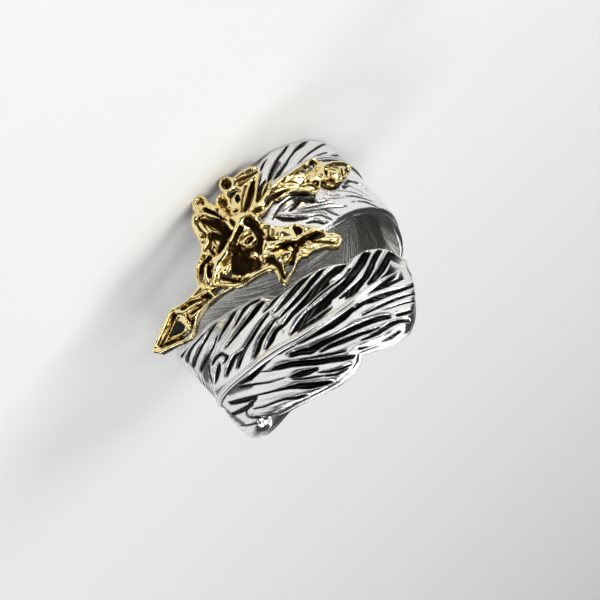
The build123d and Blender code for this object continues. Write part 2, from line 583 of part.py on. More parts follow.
os.makedirs("parts", exist_ok=True)
builders = (("feather_band", feather_band), ("phoenix_head", phoenix_head), ("beak_inlay", beak_inlay))
for name, build in builders:
    piece = build()
    piece.label = name
    export_step(piece, "parts/" + name + ".step")
    print(name, round(piece.volume, 2), "mm3", len(piece.faces()), "faces")
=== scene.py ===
import itertools
import json
import math
import bmesh
import bpy
import numpy as np
from mathutils import Matrix, Vector


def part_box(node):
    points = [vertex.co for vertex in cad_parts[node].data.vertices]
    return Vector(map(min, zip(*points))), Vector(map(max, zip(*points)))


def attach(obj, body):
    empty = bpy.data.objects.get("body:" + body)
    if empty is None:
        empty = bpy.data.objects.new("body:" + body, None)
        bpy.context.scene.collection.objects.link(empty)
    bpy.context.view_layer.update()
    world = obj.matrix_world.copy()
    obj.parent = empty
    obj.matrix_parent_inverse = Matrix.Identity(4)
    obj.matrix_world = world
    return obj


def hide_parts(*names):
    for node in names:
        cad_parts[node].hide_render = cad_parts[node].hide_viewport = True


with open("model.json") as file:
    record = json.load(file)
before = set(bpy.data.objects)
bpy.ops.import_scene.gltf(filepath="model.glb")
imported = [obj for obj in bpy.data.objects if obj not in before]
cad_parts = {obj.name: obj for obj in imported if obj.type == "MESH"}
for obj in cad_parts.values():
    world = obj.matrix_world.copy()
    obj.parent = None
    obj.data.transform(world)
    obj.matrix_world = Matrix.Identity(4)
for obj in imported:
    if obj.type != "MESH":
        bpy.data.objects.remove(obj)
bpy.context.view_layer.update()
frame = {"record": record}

# Floor, camera and light. The ring lies on its side on a pale seamless floor and is seen
# from the front and a little above, with the camera turned on its own axis so that the
# finger's axis points to the lower right of the picture.
view_elevation = math.radians(20.4)
view_roll = math.radians(137.8)
view_distance = 0.330
sensor_width = 0.036
pixels_per_metre = 11500.0
picture_pixels = 600
ring_centre = Vector((0.0, 0.0, 0.01045))
ring_centre_offset = (13.0 / pixels_per_metre, 12.0 / pixels_per_metre)
camera_near = 0.01


def put_in_scene(name, data):
    """A new object of the scene."""
    made = bpy.data.objects.new(name, data)
    bpy.context.collection.objects.link(made)
    return made


towards_camera = Vector((0.0, -math.cos(view_elevation), math.sin(view_elevation)))
level_right = Vector((1.0, 0.0, 0.0))
level_up = Vector((0.0, math.sin(view_elevation), math.cos(view_elevation)))
picture_right = math.cos(view_roll) * level_right + math.sin(view_roll) * level_up
picture_up = -math.sin(view_roll) * level_right + math.cos(view_roll) * level_up
aim = ring_centre - picture_right * ring_centre_offset[0] + picture_up * ring_centre_offset[1]
camera_data = bpy.data.cameras.new("photo_camera")
camera_data.sensor_width = sensor_width * 1000
camera_data.lens = sensor_width * 1000 * view_distance * pixels_per_metre / picture_pixels
camera_data.clip_start = camera_near
camera = put_in_scene("photo_camera", camera_data)
camera.matrix_world = Matrix.Translation(aim + towards_camera * view_distance) @ Matrix(
    (picture_right, picture_up, towards_camera)).transposed().to_4x4()
bpy.context.scene.camera = camera

floor_half = 3.0


def new_material(name):
    """A new material, with its node tree and the sockets of its shader."""
    material = bpy.data.materials.new(name)
    material.use_nodes = True
    return material, material.node_tree, material.node_tree.nodes["Principled BSDF"].inputs


floor_mesh = bpy.data.meshes.new("floor")
floor_corners = [(-floor_half, -floor_half, 0), (floor_half, -floor_half, 0),
                 (floor_half, floor_half, 0), (-floor_half, floor_half, 0)]
floor_mesh.from_pydata(floor_corners, [], [(0, 1, 2, 3)])
floor = put_in_scene("floor", floor_mesh)
floor_material, _, floor_sockets = new_material("pale_floor")
floor_sockets["Base Color"].default_value = (0.90, 0.90, 0.89, 1)
floor_sockets["Roughness"].default_value = 0.7
floor_mesh.materials.append(floor_material)


def soft_light(name, place, size, power):
    """A square soft box that looks at the ring."""
    data = bpy.data.lights.new(name, "AREA")
    data.size = size
    data.energy = power
    light = put_in_scene(name, data)
    light.location = place
    light.rotation_euler = (ring_centre - Vector(place)).to_track_quat("-Z", "Y").to_euler()


soft_light("left_box", (-0.26, -0.16, 0.18), 0.16, 0.55)
soft_light("front_box", (0.02, -0.30, 0.30), 0.14, 0.40)
soft_light("right_box", (0.26, 0.06, 0.22), 0.14, 0.30)
soft_light("top_box", (-0.02, -0.02, 0.45), 0.42, 1.10)

world = bpy.data.worlds.new("studio")
bpy.context.scene.world = world
world.use_nodes = True
background = world.node_tree.nodes["Background"].inputs
background["Color"].default_value = (0.05, 0.05, 0.055, 1)
background["Strength"].default_value = 1.0
bpy.context.scene.view_settings.view_transform = "Standard"

# The feather band. A silver casting shaped as one long feather, which winds once and a
# quarter round the finger and passes itself. Its barbs are cut in the wax as rounded
# ridges, the casting is blackened, and then the crests are polished bright again.
ring_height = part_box("feather_band")[1][2]
finger_radius = frame["record"]["mounts"][0]["dims"]["r_mm"] / 1000

# Walls in metres; then degrees round the finger, at which the casting begins, the quill ends,
# the tip lies, and the traced barbs of the free feather begin, and the pitch of the others
rim_wall = 0.00165
spine_wall = 0.00175
head_end_turn = -20.0
quill_end_turn = 403.0
nose_turn = 415.0
table_turn = 236.0
hidden_pitch = 8.5
rows_along_barb = 56
rows_inside = 6

# The quill's line: degrees round the finger, and the height along it as a share of ring_height
QUILL = [
    (-30, 0.180), (8, 0.177), (23, 0.155), (35, 0.143), (55, 0.125), (90, 0.165),
    (130, 0.215), (180, 0.285), (225, 0.400), (270, 0.525), (299, 0.592), (316, 0.640),
    (328, 0.670), (339, 0.700), (347, 0.727), (356, 0.747), (365, 0.761), (374, 0.766),
    (385, 0.762), (395, 0.758), (403, 0.756), (415, 0.716),
]

# The outline on the far side, on which the ring rests, and on the near side, likewise
FAR_EDGE = [
    (-30, 0.050), (0, 0.046), (10, 0.041), (20, 0.035), (27, 0.027), (33, 0.012), (40, 0.000),
    (215, 0.000), (235, 0.045), (250, 0.115), (262, 0.195), (272, 0.250),
    (288, 0.300), (302, 0.344), (308, 0.362), (314, 0.369), (324, 0.403), (331, 0.423),
    (338, 0.448), (345, 0.472), (350, 0.510), (357, 0.529), (363, 0.536), (370, 0.546),
    (378, 0.565), (384, 0.586), (389, 0.606), (392, 0.597), (397, 0.595), (403, 0.603),
    (409, 0.624), (413, 0.662), (415, 0.716),
]
NEAR_EDGE = [
    (-30, 0.385), (-2, 0.385), (10, 0.412), (20, 0.430), (35, 0.431), (50, 0.423),
    (75, 0.430), (99, 0.435), (121, 0.488), (150, 0.490), (180, 0.507), (215, 0.598),
    (250, 0.700), (270, 0.752), (284, 0.790), (297, 0.820), (302, 0.803), (305, 0.820),
    (313, 0.857), (322, 0.889), (330, 0.918), (336, 0.941), (342, 0.960), (348, 0.974),
    (354, 0.977), (359, 0.965), (363, 0.951), (367, 0.960), (374, 0.980), (380, 0.994),
    (386, 0.994), (394, 0.963), (400, 0.918), (407, 0.850), (412, 0.778), (415, 0.716),
]

# How far the sprung free end stands off the finger: turn, share of free_end_spring; and the
# shares of that at the quill, at the near edge and in the near vane's belly
free_end_spring = 0.00085
quill_spring = 0.40
near_spring = 0.41
near_belly = 0.30
SPRING = [(225, 0.0), (250, 0.7), (272, 1.0), (300, 0.7), (345, 0.0)]

# The quill's section: offset as a share of its half width, lift as a share of quill_rise,
# and how dark its fine grooves are; and its width along the turns, as a share of its widest
quill_half = 0.00040
quill_rise = 0.00025
QUILL_PROFILE = [
    (-0.98, 0.10, 0.5), (-0.85, 0.55, 0.1), (-0.62, 0.82, 0.0), (-0.50, 0.62, 0.5),
    (-0.38, 0.86, 0.0), (-0.05, 1.00, 0.0), (0.22, 0.92, 0.0), (0.34, 0.68, 0.5),
    (0.46, 0.88, 0.0), (0.80, 0.62, 0.0), (0.96, 0.10, 0.5),
]
QUILL_TAPER = [
    (-20, 0.8), (60, 0.9), (250, 1.0), (330, 1.0), (370, 0.9), (390, 0.6), (403, 0.15), (415, 0.1),
]

# How far a barb sweeps round between its root and its tip
SWEEP = [(-20, 18), (10, 29), (40, 38), (100, 55), (180, 75), (236, 84)]

# Barbs of the free feather: root turn, tip turn, reach
FAR_BARBS = [
    (240, 326, 1.00), (248, 332, 1.00), (257, 339, 1.00), (264, 344, 1.00), (270, 349, 1.02),
    (277, 352, 0.94), (284, 360, 1.00), (296, 370, 1.00), (309, 378, 1.00), (321, 384, 1.00),
    (335, 388, 0.97), (348, 393, 1.00), (361, 399, 1.00), (371, 404, 1.00), (380, 408, 1.00),
    (388, 411, 1.00), (395, 413, 1.00), (400, 414.4, 1.00),
]
NEAR_BARBS = [
    (240, 317, 1.00), (249, 323, 1.00), (257, 330, 1.00), (265, 337, 1.00), (275, 346, 1.00),
    (287, 353, 1.00), (300, 360, 1.02), (308, 363, 0.97), (313, 373, 1.00), (320, 385, 1.00),
    (328, 391, 1.00), (338, 396, 1.00), (349, 400, 1.00), (361, 404, 1.00), (373, 408, 1.00),
    (384, 411, 1.00), (393, 413, 1.00), (399, 414.3, 1.00),
]

# Grooves cut in the feather with a graver: the far side of the free feather, its near side,
# and the part beside the head. Each is a chain of (turn, height, half width), whose last two
# are thousandths of ring_height, here and in the next two tables.
groove_depth = 0.00048
worn_black = 0.74
FEATHER_CUTS = [
    [(306.5, 361, 4), (302, 345, 6), (293.5, 328, 7), (286, 311, 7)],
    [(314.5, 391, 3), (307.5, 375, 5), (300, 362, 5), (293.5, 355, 7), (287.5, 350, 7)],
    [(324, 408, 5), (317, 408, 6), (310.5, 406, 6), (302.5, 401, 6), (294.5, 394, 7), (288.5, 387, 7)],
    [(318.5, 445, 3), (313, 453, 5), (305.5, 450, 7), (298.5, 441, 8), (290.5, 429, 7)],
    [(300, 468, 6), (295.5, 480, 7), (291.5, 500, 7)],
    [(336.5, 437, 7), (331.5, 445, 9), (327, 452, 8), (322, 454, 5), (317.5, 462, 3)],
    [(345.5, 488, 6), (341.5, 468, 10), (337, 469, 9), (332.5, 477, 6), (328.5, 485, 3)],
    [(346.5, 507, 8), (342, 508, 12), (337.5, 512, 11), (332, 513, 8), (325.5, 511, 6), (318, 505, 4)],
    [(344.5, 561, 5), (338.5, 565, 7), (331.5, 574, 8), (325.5, 578, 8), (319.5, 584, 11), (315, 597, 7)],
    [(345.5, 599, 4), (339.5, 605, 8), (333.5, 612, 10), (329, 626, 11), (325.5, 633, 7)],
    [(345.5, 638, 5), (341, 636, 10), (337, 646, 12), (333, 652, 7)],
    [(322.5, 571, 4), (317.5, 559, 9), (312.5, 560, 12), (305.5, 563, 9)],
    [(294, 520, 6), (299, 518, 12), (304, 517, 12), (307, 514, 7)],
    [(303.5, 481, 7), (308, 484, 7), (313, 500, 7), (314.5, 531, 7), (310.5, 529, 5)],
    [(369.5, 532, 6), (365, 526, 8), (360.5, 529, 9), (356, 534, 8), (351.5, 538, 7), (347, 541, 6),
     (343.5, 540, 4)],
    [(373.5, 548, 8), (368.5, 554, 12), (363.5, 561, 12), (359, 567, 12), (354.5, 572, 10), (350.5, 575, 7),
     (347, 578, 4)],
    [(378, 570, 7), (373, 580, 11), (368.5, 588, 11), (363.5, 599, 11), (358.5, 604, 10), (354, 606, 8),
     (350, 606, 6), (346.5, 608, 4)],
    [(387, 603, 13), (382, 610, 18), (376.5, 618, 21), (371.5, 625, 22), (366.5, 627, 18), (362, 633, 15),
     (357.5, 635, 12), (352.5, 636, 9), (347.5, 642, 8), (344, 644, 4)],
    [(382, 677, 11), (377, 682, 14), (372, 685, 15), (367, 690, 16), (362.5, 691, 20), (357.5, 687, 19),
     (353, 688, 15), (349, 691, 10), (346, 693, 5)],
    [(399, 613, 15), (392.5, 643, 17), (387.5, 660, 17), (382, 677, 16), (377, 688, 13), (372.5, 694, 12),
     (368.5, 695, 9)],
    [(405.5, 629, 9), (401, 647, 11), (397.5, 664, 11), (394.5, 682, 12), (389.5, 705, 12),
     (385.5, 715, 12), (381.5, 720, 11), (377, 720, 8), (373, 719, 5)],
    [(410.5, 657, 12), (406, 676, 13), (401.5, 697, 13), (398, 713, 13), (394.5, 723, 13), (390, 736, 11),
     (387.5, 739, 6)],
    [(413, 698, 11), (408, 711, 15), (404.5, 725, 14), (401.5, 737, 11), (398.5, 744, 7), (394.5, 748, 5)],
    [(415.5, 737, 3), (409.5, 749, 5), (405.5, 757, 6), (402, 762, 7), (398.5, 768, 8), (395, 769, 10),
     (391.5, 769, 9), (387.5, 767, 6)],
    [(411.5, 799, 5), (406.5, 791, 6), (402, 790, 6), (397.5, 787, 8), (394, 785, 9), (390.5, 780, 8),
     (387, 775, 7), (383.5, 770, 4)],
    [(345.5, 566, 2), (345.5, 599, 3), (344.5, 638, 2), (344, 671, 2)],
    [(406.5, 839, 5), (402.5, 838, 7), (398, 833, 8), (393.5, 824, 11), (390, 817, 12), (386.5, 811, 13),
     (383, 804, 12), (379.5, 796, 8), (376.5, 788, 5)],
    [(403.5, 875, 4), (399, 868, 5), (394, 860, 7), (389, 853, 7), (384.5, 848, 7), (380, 842, 5),
     (375, 835, 4)],
    [(400.5, 904, 3), (396.5, 896, 4), (391.5, 886, 3), (387.5, 879, 3), (384, 869, 2)],
    [(396.5, 935, 4), (394, 934, 7), (391.5, 930, 8), (388, 920, 8)],
    [(390.5, 963, 6), (388.5, 955, 8), (386, 944, 9), (382.5, 937, 10), (378.5, 935, 9), (375, 933, 9),
     (371, 926, 7), (367.5, 916, 4)],
    [(384, 905, 10), (381, 890, 12), (377, 878, 12), (372.5, 866, 12), (367.5, 853, 12), (362.5, 842, 11),
     (358, 829, 11), (353, 812, 13), (347.5, 799, 16), (344, 774, 12), (339.5, 751, 11)],
    [(377, 919, 4), (372.5, 907, 7), (369, 893, 8), (364.5, 879, 10), (360, 864, 10), (355.5, 847, 9),
     (351, 836, 6)],
    [(383.5, 981, 7), (378, 980, 8), (373, 972, 7), (368.5, 959, 7), (364, 933, 5)],
    [(372, 788, 12), (367.5, 787, 17), (362.5, 779, 20), (357, 766, 18), (352.5, 752, 16), (347.5, 739, 12),
     (343, 725, 6)],
    [(359, 906, 4), (353, 872, 5), (347.5, 835, 5), (341.5, 794, 3)],
    [(360.5, 944, 8), (356, 922, 10), (351.5, 890, 11), (346.5, 856, 12), (341.5, 815, 12),
     (336.5, 776, 12), (331.5, 747, 11), (328.5, 728, 5)],
    [(344, 873, 8), (340, 853, 12), (336.5, 833, 13), (333, 815, 7)],
    [(356.5, 960, 4), (352, 946, 6), (347.5, 919, 5), (344, 891, 3)],
    [(354.5, 964, 3), (349, 949, 5), (345, 921, 4)],
    [(344, 912, 3), (338, 870, 5), (333, 830, 4)],
    [(344.5, 950, 7), (340.5, 925, 12), (336, 895, 14), (332.5, 862, 12), (328.5, 834, 7), (322, 794, 4),
     (313, 738, 3)],
    [(331, 905, 7), (327, 883, 7), (323, 850, 5), (317.5, 820, 4), (311, 790, 3), (305, 751, 3)],
    [(343, 732, 4), (338.5, 717, 5), (333, 694, 6), (328, 686, 7), (322, 677, 11), (316, 663, 14),
     (309.5, 637, 9)],
    [(331.5, 756, 2), (327, 726, 3), (322.5, 689, 2)],
    [(330.5, 797, 2), (323, 754, 3), (316, 702, 4), (307.5, 647, 5)],
    [(312, 736, 6), (306.5, 709, 10), (300, 671, 10), (291, 621, 8)],
    [(311, 741, 5), (305, 727, 7), (299, 718, 6), (297.5, 741, 5), (302.5, 790, 4)],
    [(306, 735, 7), (296.5, 698, 9), (285.5, 648, 7)],
    [(310.5, 855, 2), (301.5, 806, 3), (291.5, 749, 4), (282, 695, 3)],
    [(349.5, 694, 5), (354, 691, 10), (358, 693, 12), (362, 697, 13), (365.5, 704, 12), (368.5, 707, 7)],
    [(375.5, 731, 5), (379, 731, 8), (382.5, 730, 7), (385.5, 727, 4)],
    [(349.5, 705, 5), (354, 712, 7), (357.5, 718, 8), (361, 724, 8), (365, 727, 7), (367.5, 729, 4)],
    [(374.5, 737, 3), (378, 739, 5), (381.5, 739, 4)],
    [(360.5, 658, 3), (366, 656, 5), (372, 656, 5), (377.5, 658, 5), (382, 653, 6), (386, 639, 5)],
    [(372, 790, 9), (375.5, 795, 8), (379, 798, 6), (383, 806, 4)],
    [(33, 31, 2), (30.5, 39, 4), (28, 51, 5), (26, 65, 3)],
    [(26, 73, 2), (22.5, 97, 3), (18.5, 129, 3), (15, 160, 2)],
    [(24, 113, 6), (21.5, 125, 8), (19, 138, 9), (16.5, 155, 6)],
    [(49.5, 8, 2), (46.5, 17, 5), (43, 34, 5), (40, 45, 5), (37.5, 53, 5), (34, 71, 6), (31, 86, 7),
     (28.5, 101, 7), (26.5, 116, 6), (24, 130, 6), (21, 146, 5), (18, 159, 4)],
    [(68, -5, 4), (61.5, 13, 6), (55, 33, 9), (51, 43, 7), (48, 52, 5), (44, 68, 4), (41, 80, 4),
     (38.5, 93, 6), (35.5, 104, 6), (33, 113, 8), (30.5, 123, 7), (28, 130, 4)],
    [(78.5, 22, 5), (70.5, 42, 5), (62.5, 64, 5), (56.5, 79, 4), (50.5, 95, 3), (45.5, 110, 3),
     (42, 121, 2), (38, 128, 2)],
    [(68, 92, 3), (61, 100, 3), (54.5, 108, 2)],
    [(92, 62, 4), (81.5, 85, 7), (70.5, 110, 6), (63.5, 128, 3)],
    [(59.5, 276, 5), (64, 262, 5), (67.5, 269, 5), (71.5, 273, 4), (73, 290, 4), (74.5, 306, 3),
     (75, 324, 2)],
    [(56.5, 292, 6), (61.5, 286, 3), (64, 310, 2), (67, 329, 2), (68.5, 350, 2)],
    [(51.5, 300, 2), (56, 313, 2), (61.5, 332, 2), (64.5, 353, 2)],
    [(44.5, 296, 2), (47.5, 312, 2), (51, 325, 2)],
    [(53, 339, 2), (57, 344, 3), (61.5, 357, 3), (66, 374, 2), (70, 386, 2)],
    [(39, 306, 2), (43, 319, 2), (47, 331, 2), (51.5, 339, 2)],
    [(53, 370, 2), (57.5, 376, 2), (61.5, 383, 3), (65, 395, 5), (68, 409, 4), (70, 419, 2)],
    [(37, 314, 5), (40, 322, 4), (43, 325, 2)],
    [(29, 305, 3), (32.5, 317, 3), (37, 328, 4), (41, 338, 3), (44, 347, 2)],
    [(26.5, 314, 3), (31, 331, 4), (35.5, 347, 4), (39.5, 355, 4), (43, 367, 4), (46.5, 379, 3),
     (49.5, 384, 2)],
    [(24, 323, 3), (27.5, 347, 3), (31.5, 360, 4), (34, 375, 3), (35, 393, 4), (36.5, 412, 3)],
    [(37.5, 359, 3), (38, 373, 4), (39.5, 391, 5), (40.5, 405, 3), (42, 411, 2)],
    [(25.5, 368, 5), (28.5, 377, 8), (30.5, 390, 9), (31.5, 406, 7), (34, 413, 3)],
    [(16.5, 273, 6), (18.5, 298, 11), (21.5, 320, 11), (24.5, 338, 8), (27.5, 354, 4)],
    [(14.5, 271, 4), (17.5, 256, 5), (21, 243, 4), (25, 237, 4), (28, 237, 4), (29.5, 242, 2)],
    [(23.5, 282, 6), (26, 279, 9), (29, 269, 10), (30.5, 259, 6)],
    [(32, 274, 8), (34.5, 285, 11), (36.5, 303, 7)],
    [(29.5, 222, 6), (32.5, 236, 8), (35, 251, 9), (37.5, 251, 3)],
    [(20, 268, 2), (24, 266, 3), (27, 263, 2)],
    [(23, 301, 2), (27, 323, 2), (31, 341, 2), (34.5, 361, 2), (36.5, 383, 2)],
]

# Bright bars that stand up again in a groove or on the edge: how far they rise above the
# crests in millimetres, and a chain
FEATHER_BARS = {
    "spring_bar": (0.0, [(380, 635, 6), (375, 636, 7)]),
    "corner_bar": (0.06, [(287, 305, 6), (283, 285, 6)]),
    "tip_knob": (0.22, [(286, 757, 14), (289, 788, 15)]),
}

# Where the grey bloom of the blackening was left on the crests, and the painted shade on the band
# beside and under the head's plume: how dark, and a chain
FEATHER_BLOOM_AND_SHADE = {
    "left_of_hook": (0.62, [(304, 453, 21), (297, 453, 25), (288, 467, 21)]),
    "quill_end": (0.5, [(286, 534, 15), (296, 569, 12), (306, 605, 8)]),
    "below_quill_end": (0.62, [(277, 558, 15), (281, 611, 25), (285, 667, 25), (289, 725, 17)]),
    "near_root": (0.55, [(297, 601, 15), (307, 649, 17), (314, 693, 12)]),
    "far_corner": (0.45, [(291, 345, 12), (286, 400, 16)]),
    "nose_root": (0.6, [(396, 782, 10), (391, 775, 15), (386, 771, 12), (380, 768, 8)]),
    "upper_fan": (0.5, [(36, 75, 10), (29, 106, 10), (23, 135, 12)]),
    "open_v": (0.45, [(23, 247, 15), (17, 260, 12)]),
    # Painted shade on the band beside and under the head's plume.
    "shade_behind_leaf": (0.7, [(29, 256, 17), (33, 269, 19), (36, 292, 12)]),
    "shade_under_leaf": (0.35, [(27, 306, 15), (34, 332, 19), (39, 367, 17)]),
}


def smooth(table, at):
    """Read a table of (position, value) rows as a smooth curve without overshoot."""
    place = np.array([row[0] for row in table], float)
    value = np.array([row[1] for row in table], float)
    at = np.clip(np.asarray(at, float), place[0], place[-1])
    span = np.diff(place)
    slope = np.diff(value) / span
    i = np.clip(np.searchsorted(place, at, side="right") - 1, 0, len(slope) - 1)
    before = slope[np.maximum(i - 1, 0)]
    after = slope[np.minimum(i + 1, len(slope) - 1)]
    here = slope[i]
    start, end = [np.where(both > 0, 2 * both / np.where(both > 0, beside + here, 1), 0)
                  for beside, both in ((before, before * here), (after, after * here))]
    s = (at - place[i]) / span[i]
    blend = s * s * (3 - 2 * s)
    curve = span[i] * (start * s * (1 - s) ** 2 - end * s * s * (1 - s))
    return value[i] + here * span[i] * blend + curve


def ramp(low, high, at):
    """0 below low, 1 above high, smooth between."""
    s = np.clip((at - low) / (high - low), 0, 1)
    return s * s * (3 - 2 * s)


def band_height(turn, across, side):
    """Height of the band where across is 0 at the quill's flank and 1 at the edge."""
    quill = smooth(QUILL, turn) * ring_height
    edge = smooth(FAR_EDGE if side < 0 else NEAR_EDGE, turn) * ring_height
    flank = side * quill_half * smooth(QUILL_TAPER, turn)
    return quill + flank + (edge - quill - flank) * across


def band_crown(across):
    """Radius of the band's outer face over the barbs' crests."""
    return finger_radius + rim_wall + (spine_wall - rim_wall) * (1 - across * across)


def band_spring(turn, across, side):
    """How far the whole wall stands off the finger."""
    edge = 1.0 if side < 0 else near_spring
    share = quill_spring + (edge - quill_spring) * across * across
    if side > 0:
        share = share + near_belly * 4 * across * (1 - across)
    return free_end_spring * smooth(SPRING, turn) * share


chain_reach = 2.4


def along_chain(turn, height, chain):
    """For each step of a chain: the points within chain_reach half widths of it, how many half
    widths off it they are, and the half width there."""
    degree = math.radians(1) * (finger_radius + spine_wall)
    chain = [(place, level / 1000, half / 1000) for place, level, half in chain]
    for a, b in zip(chain, chain[1:]):
        wide = max(a[2], b[2]) * ring_height * chain_reach
        reach = wide / degree
        near = (turn > min(a[0], b[0]) - reach) & (turn < max(a[0], b[0]) + reach)
        near &= (height > min(a[1], b[1]) * ring_height - wide)
        near &= (height < max(a[1], b[1]) * ring_height + wide)
        if near.any():
            x, y = (turn[near] - a[0]) * degree, height[near] - a[1] * ring_height
            dx, dy = (b[0] - a[0]) * degree, (b[1] - a[1]) * ring_height
            s = np.clip((x * dx + y * dy) / (dx * dx + dy * dy), 0, 1)
            half = (a[2] + (b[2] - a[2]) * s) * ring_height
            yield near, np.hypot(x - dx * s, y - dy * s) / half, half


# How a graver's cut falls off from its middle, as (share, full to, gone at) in half widths for a
# steep core and a soft shoulder; likewise the black in it, the bloom and painted shade, and the
# bars. A cut is no deeper than steepness times its half width, and one under black_half is paler.
cut_core, cut_shoulder = (0.80, 0.30, 1.20), (0.20, 0.8, 2.4)
black_core, black_shoulder = (0.72, 0.60, 1.15), (0.28, 0.8, 2.1)
grey_fade, bar_face, bar_rise = (1, 0.3, 1.6), (1, 0.5, 1.2), (1, 0.2, 1.3)
steepness = 1.7
black_half = 0.00006


def fall_off(off, *layers):
    """How much is left at a distance off the middle."""
    return sum(share * (1 - ramp(full, gone, off)) for share, full, gone in layers)


def graver(turn, height):
    """Depth and darkness that the cut grooves, bars, bloom and painted shade give at points of the band."""
    depth = np.zeros(turn.shape)
    dark = np.zeros(turn.shape)
    for cut in FEATHER_CUTS:
        left = 1.0 if cut[0][0] > table_turn else worn_black
        for near, off, half in along_chain(turn, height, cut):
            deep = np.minimum(groove_depth, steepness * half)
            depth[near] = np.maximum(depth[near], deep * fall_off(off, cut_core, cut_shoulder))
            shade = fall_off(off, black_core, black_shoulder)
            dark[near] = np.maximum(dark[near], left * shade * np.minimum(1, half / black_half))
    # Grey bloom, and painted shade beside the head's plume.
    for greyness, chain in FEATHER_BLOOM_AND_SHADE.values():
        for near, off, half in along_chain(turn, height, chain):
            dark[near] = np.maximum(dark[near], greyness * fall_off(off, grey_fade))
    for rise, chain in FEATHER_BARS.values():
        for near, off, half in along_chain(turn, height, chain):
            bar = fall_off(off, bar_face)
            depth[near] = depth[near] * (1 - bar) - rise * 0.001 * fall_off(off, bar_rise)
            dark[near] = dark[near] * (1 - bar)
    return depth, dark


def on_ring(turn, height, radius):
    """Points at turns round the finger, heights along it and distances from its axis."""
    angle = np.radians(turn)
    return np.stack(np.broadcast_arrays(-radius * np.sin(angle), -radius * np.cos(angle), height), -1)


class Casting:
    """Corners and faces gathered into one mesh, with a darkness and a place in the grain for
    each corner. Where none is given, that place is the corner's own, at run_scale."""
    run_scale = 3000

    def __init__(self):
        self.points, self.dark, self.run, self.faces, self.size = [], [], [], [], 0

    def add(self, points, dark, run=None):
        """Add corners; gives back their numbers."""
        points = np.asarray(points, float).reshape(-1, 3)
        first = self.size
        self.points.append(points)
        self.dark.append(np.broadcast_to(np.asarray(dark, float).ravel(), (len(points),)))
        self.run.append(points * self.run_scale if run is None else np.asarray(run, float).reshape(-1, 3))
        self.size += len(points)
        return np.arange(first, self.size)

    def grid(self, ids, flip):
        """Fill a grid of corners with quads."""
        quads = np.stack([ids[:-1, :-1], ids[:-1, 1:], ids[1:, 1:], ids[1:, :-1]], -1).reshape(-1, 4)
        self.faces.extend((quads[:, ::-1] if flip else quads).tolist())

    def strip(self, left, right, left_keys, right_keys, flip):
        """Fill the strip between two rows of corners with triangles, in the order of their keys."""
        i = j = 0
        while i < len(left) - 1 or j < len(right) - 1:
            step_left = j == len(right) - 1
            if i < len(left) - 1 and j < len(right) - 1:
                step_left = left_keys[i + 1] <= right_keys[j + 1]
            if step_left:
                corner = [left[i], left[i + 1], right[j]]
                i += 1
            else:
                corner = [left[i], right[j + 1], right[j]]
                j += 1
            if len(set(corner)) == 3:
                self.faces.append(corner[::-1] if flip else corner)

    def piece(self, name):
        """The finished mesh, its faces turned outwards, as an object of the scene."""
        mesh = bpy.data.meshes.new(name)
        mesh.from_pydata(np.concatenate(self.points).tolist(), [], self.faces)
        skin = bmesh.new()
        skin.from_mesh(mesh)
        bmesh.ops.recalc_face_normals(skin, faces=skin.faces)
        skin.to_mesh(mesh)
        skin.free()
        layer = mesh.attributes.new("dark", "FLOAT", "POINT")
        layer.data.foreach_set("value", np.concatenate(self.dark).astype(np.float32))
        run = mesh.attributes.new("run", "FLOAT_VECTOR", "POINT")
        run.data.foreach_set("vector", np.concatenate(self.run).astype(np.float32).ravel())
        mesh.polygons.foreach_set("use_smooth", np.ones(len(mesh.polygons), bool))
        return put_in_scene(name, mesh)


def loop_barbs():
    """Barbs of the stretch round the back, evenly pitched from the head end on."""
    count = round((table_turn - head_end_turn) / hidden_pitch)
    roots = head_end_turn + (table_turn - head_end_turn) * np.arange(count) / count
    return [(r, r + float(smooth(SWEEP, r)), 1.0) for r in roots]


# Mesh lines to a barb: beside the head, from back_from on round the back, and on the free feather
head_lines, back_lines, free_lines = 24, 7, 18
back_from = 58


def vane_lines(barbs):
    """Lines over one vane as (root, tip, reach, place) rows; place is 0 on a crest, 1 midway."""
    lines = []
    for k, (row, after) in enumerate(zip(barbs, barbs[1:])):
        count = head_lines if row[0] < back_from else back_lines if row[0] < table_turn - 1 else free_lines
        for step in range(count + (k == len(barbs) - 2)):
            share = step / count
            between = 2 * abs(share - round(share))
            lines.append([a + (b - a) * share for a, b in zip(row, after)] + [between])
    return np.array(lines)


# The barbs: how the mesh rows crowd from quill to edge, the turns over which the back's own
# grooves begin and end, how they fade at quill and edge, where between crest and midway their
# steep flank lies and its share of their depth, a fine hairline in them, and the lip beside
# the outline that no cut crosses
outer_spacing, inner_spacing = 0.92, 0.7
back_begins, back_ends = (84, 116), (252, 292)
quill_fade, edge_fade = (-0.02, 0.16), (0.90, 0.985)
edge_loss = 0.85
groove_flank = (0.50, 0.72)
slope_share, flank_share = 0.10, 0.90
back_depth = 0.9
crest_depth = 0.05
hair_middle, hair_width, hair_rise = 0.86, 0.06, 0.22
lip_width = 0.00026

# Steps of the metal's grain: from line to line, along a barb, and between the two vanes
line_run, barb_run, side_run = 0.9, 2.5, 5.0

# How far in from the outline the outer face is rounded, on the far and the near side; the near
# side comes to that over the turns of full_round. The bore's mouth is eased, and beside the
# head, up to the turns of beside_head, the near side's is eased more and darkened with painted
# shade. The whole bore gets painted shade too, lighter towards its mouth.
far_edge_round = 0.00050
near_edge_round = 0.00085
full_round = (200, 260)
beside_head = (110, 160)
rim_ease = 0.0006
head_end_ease = 0.00040
bore_painted_shade = 0.42
mouth_painted_shade = 0.45


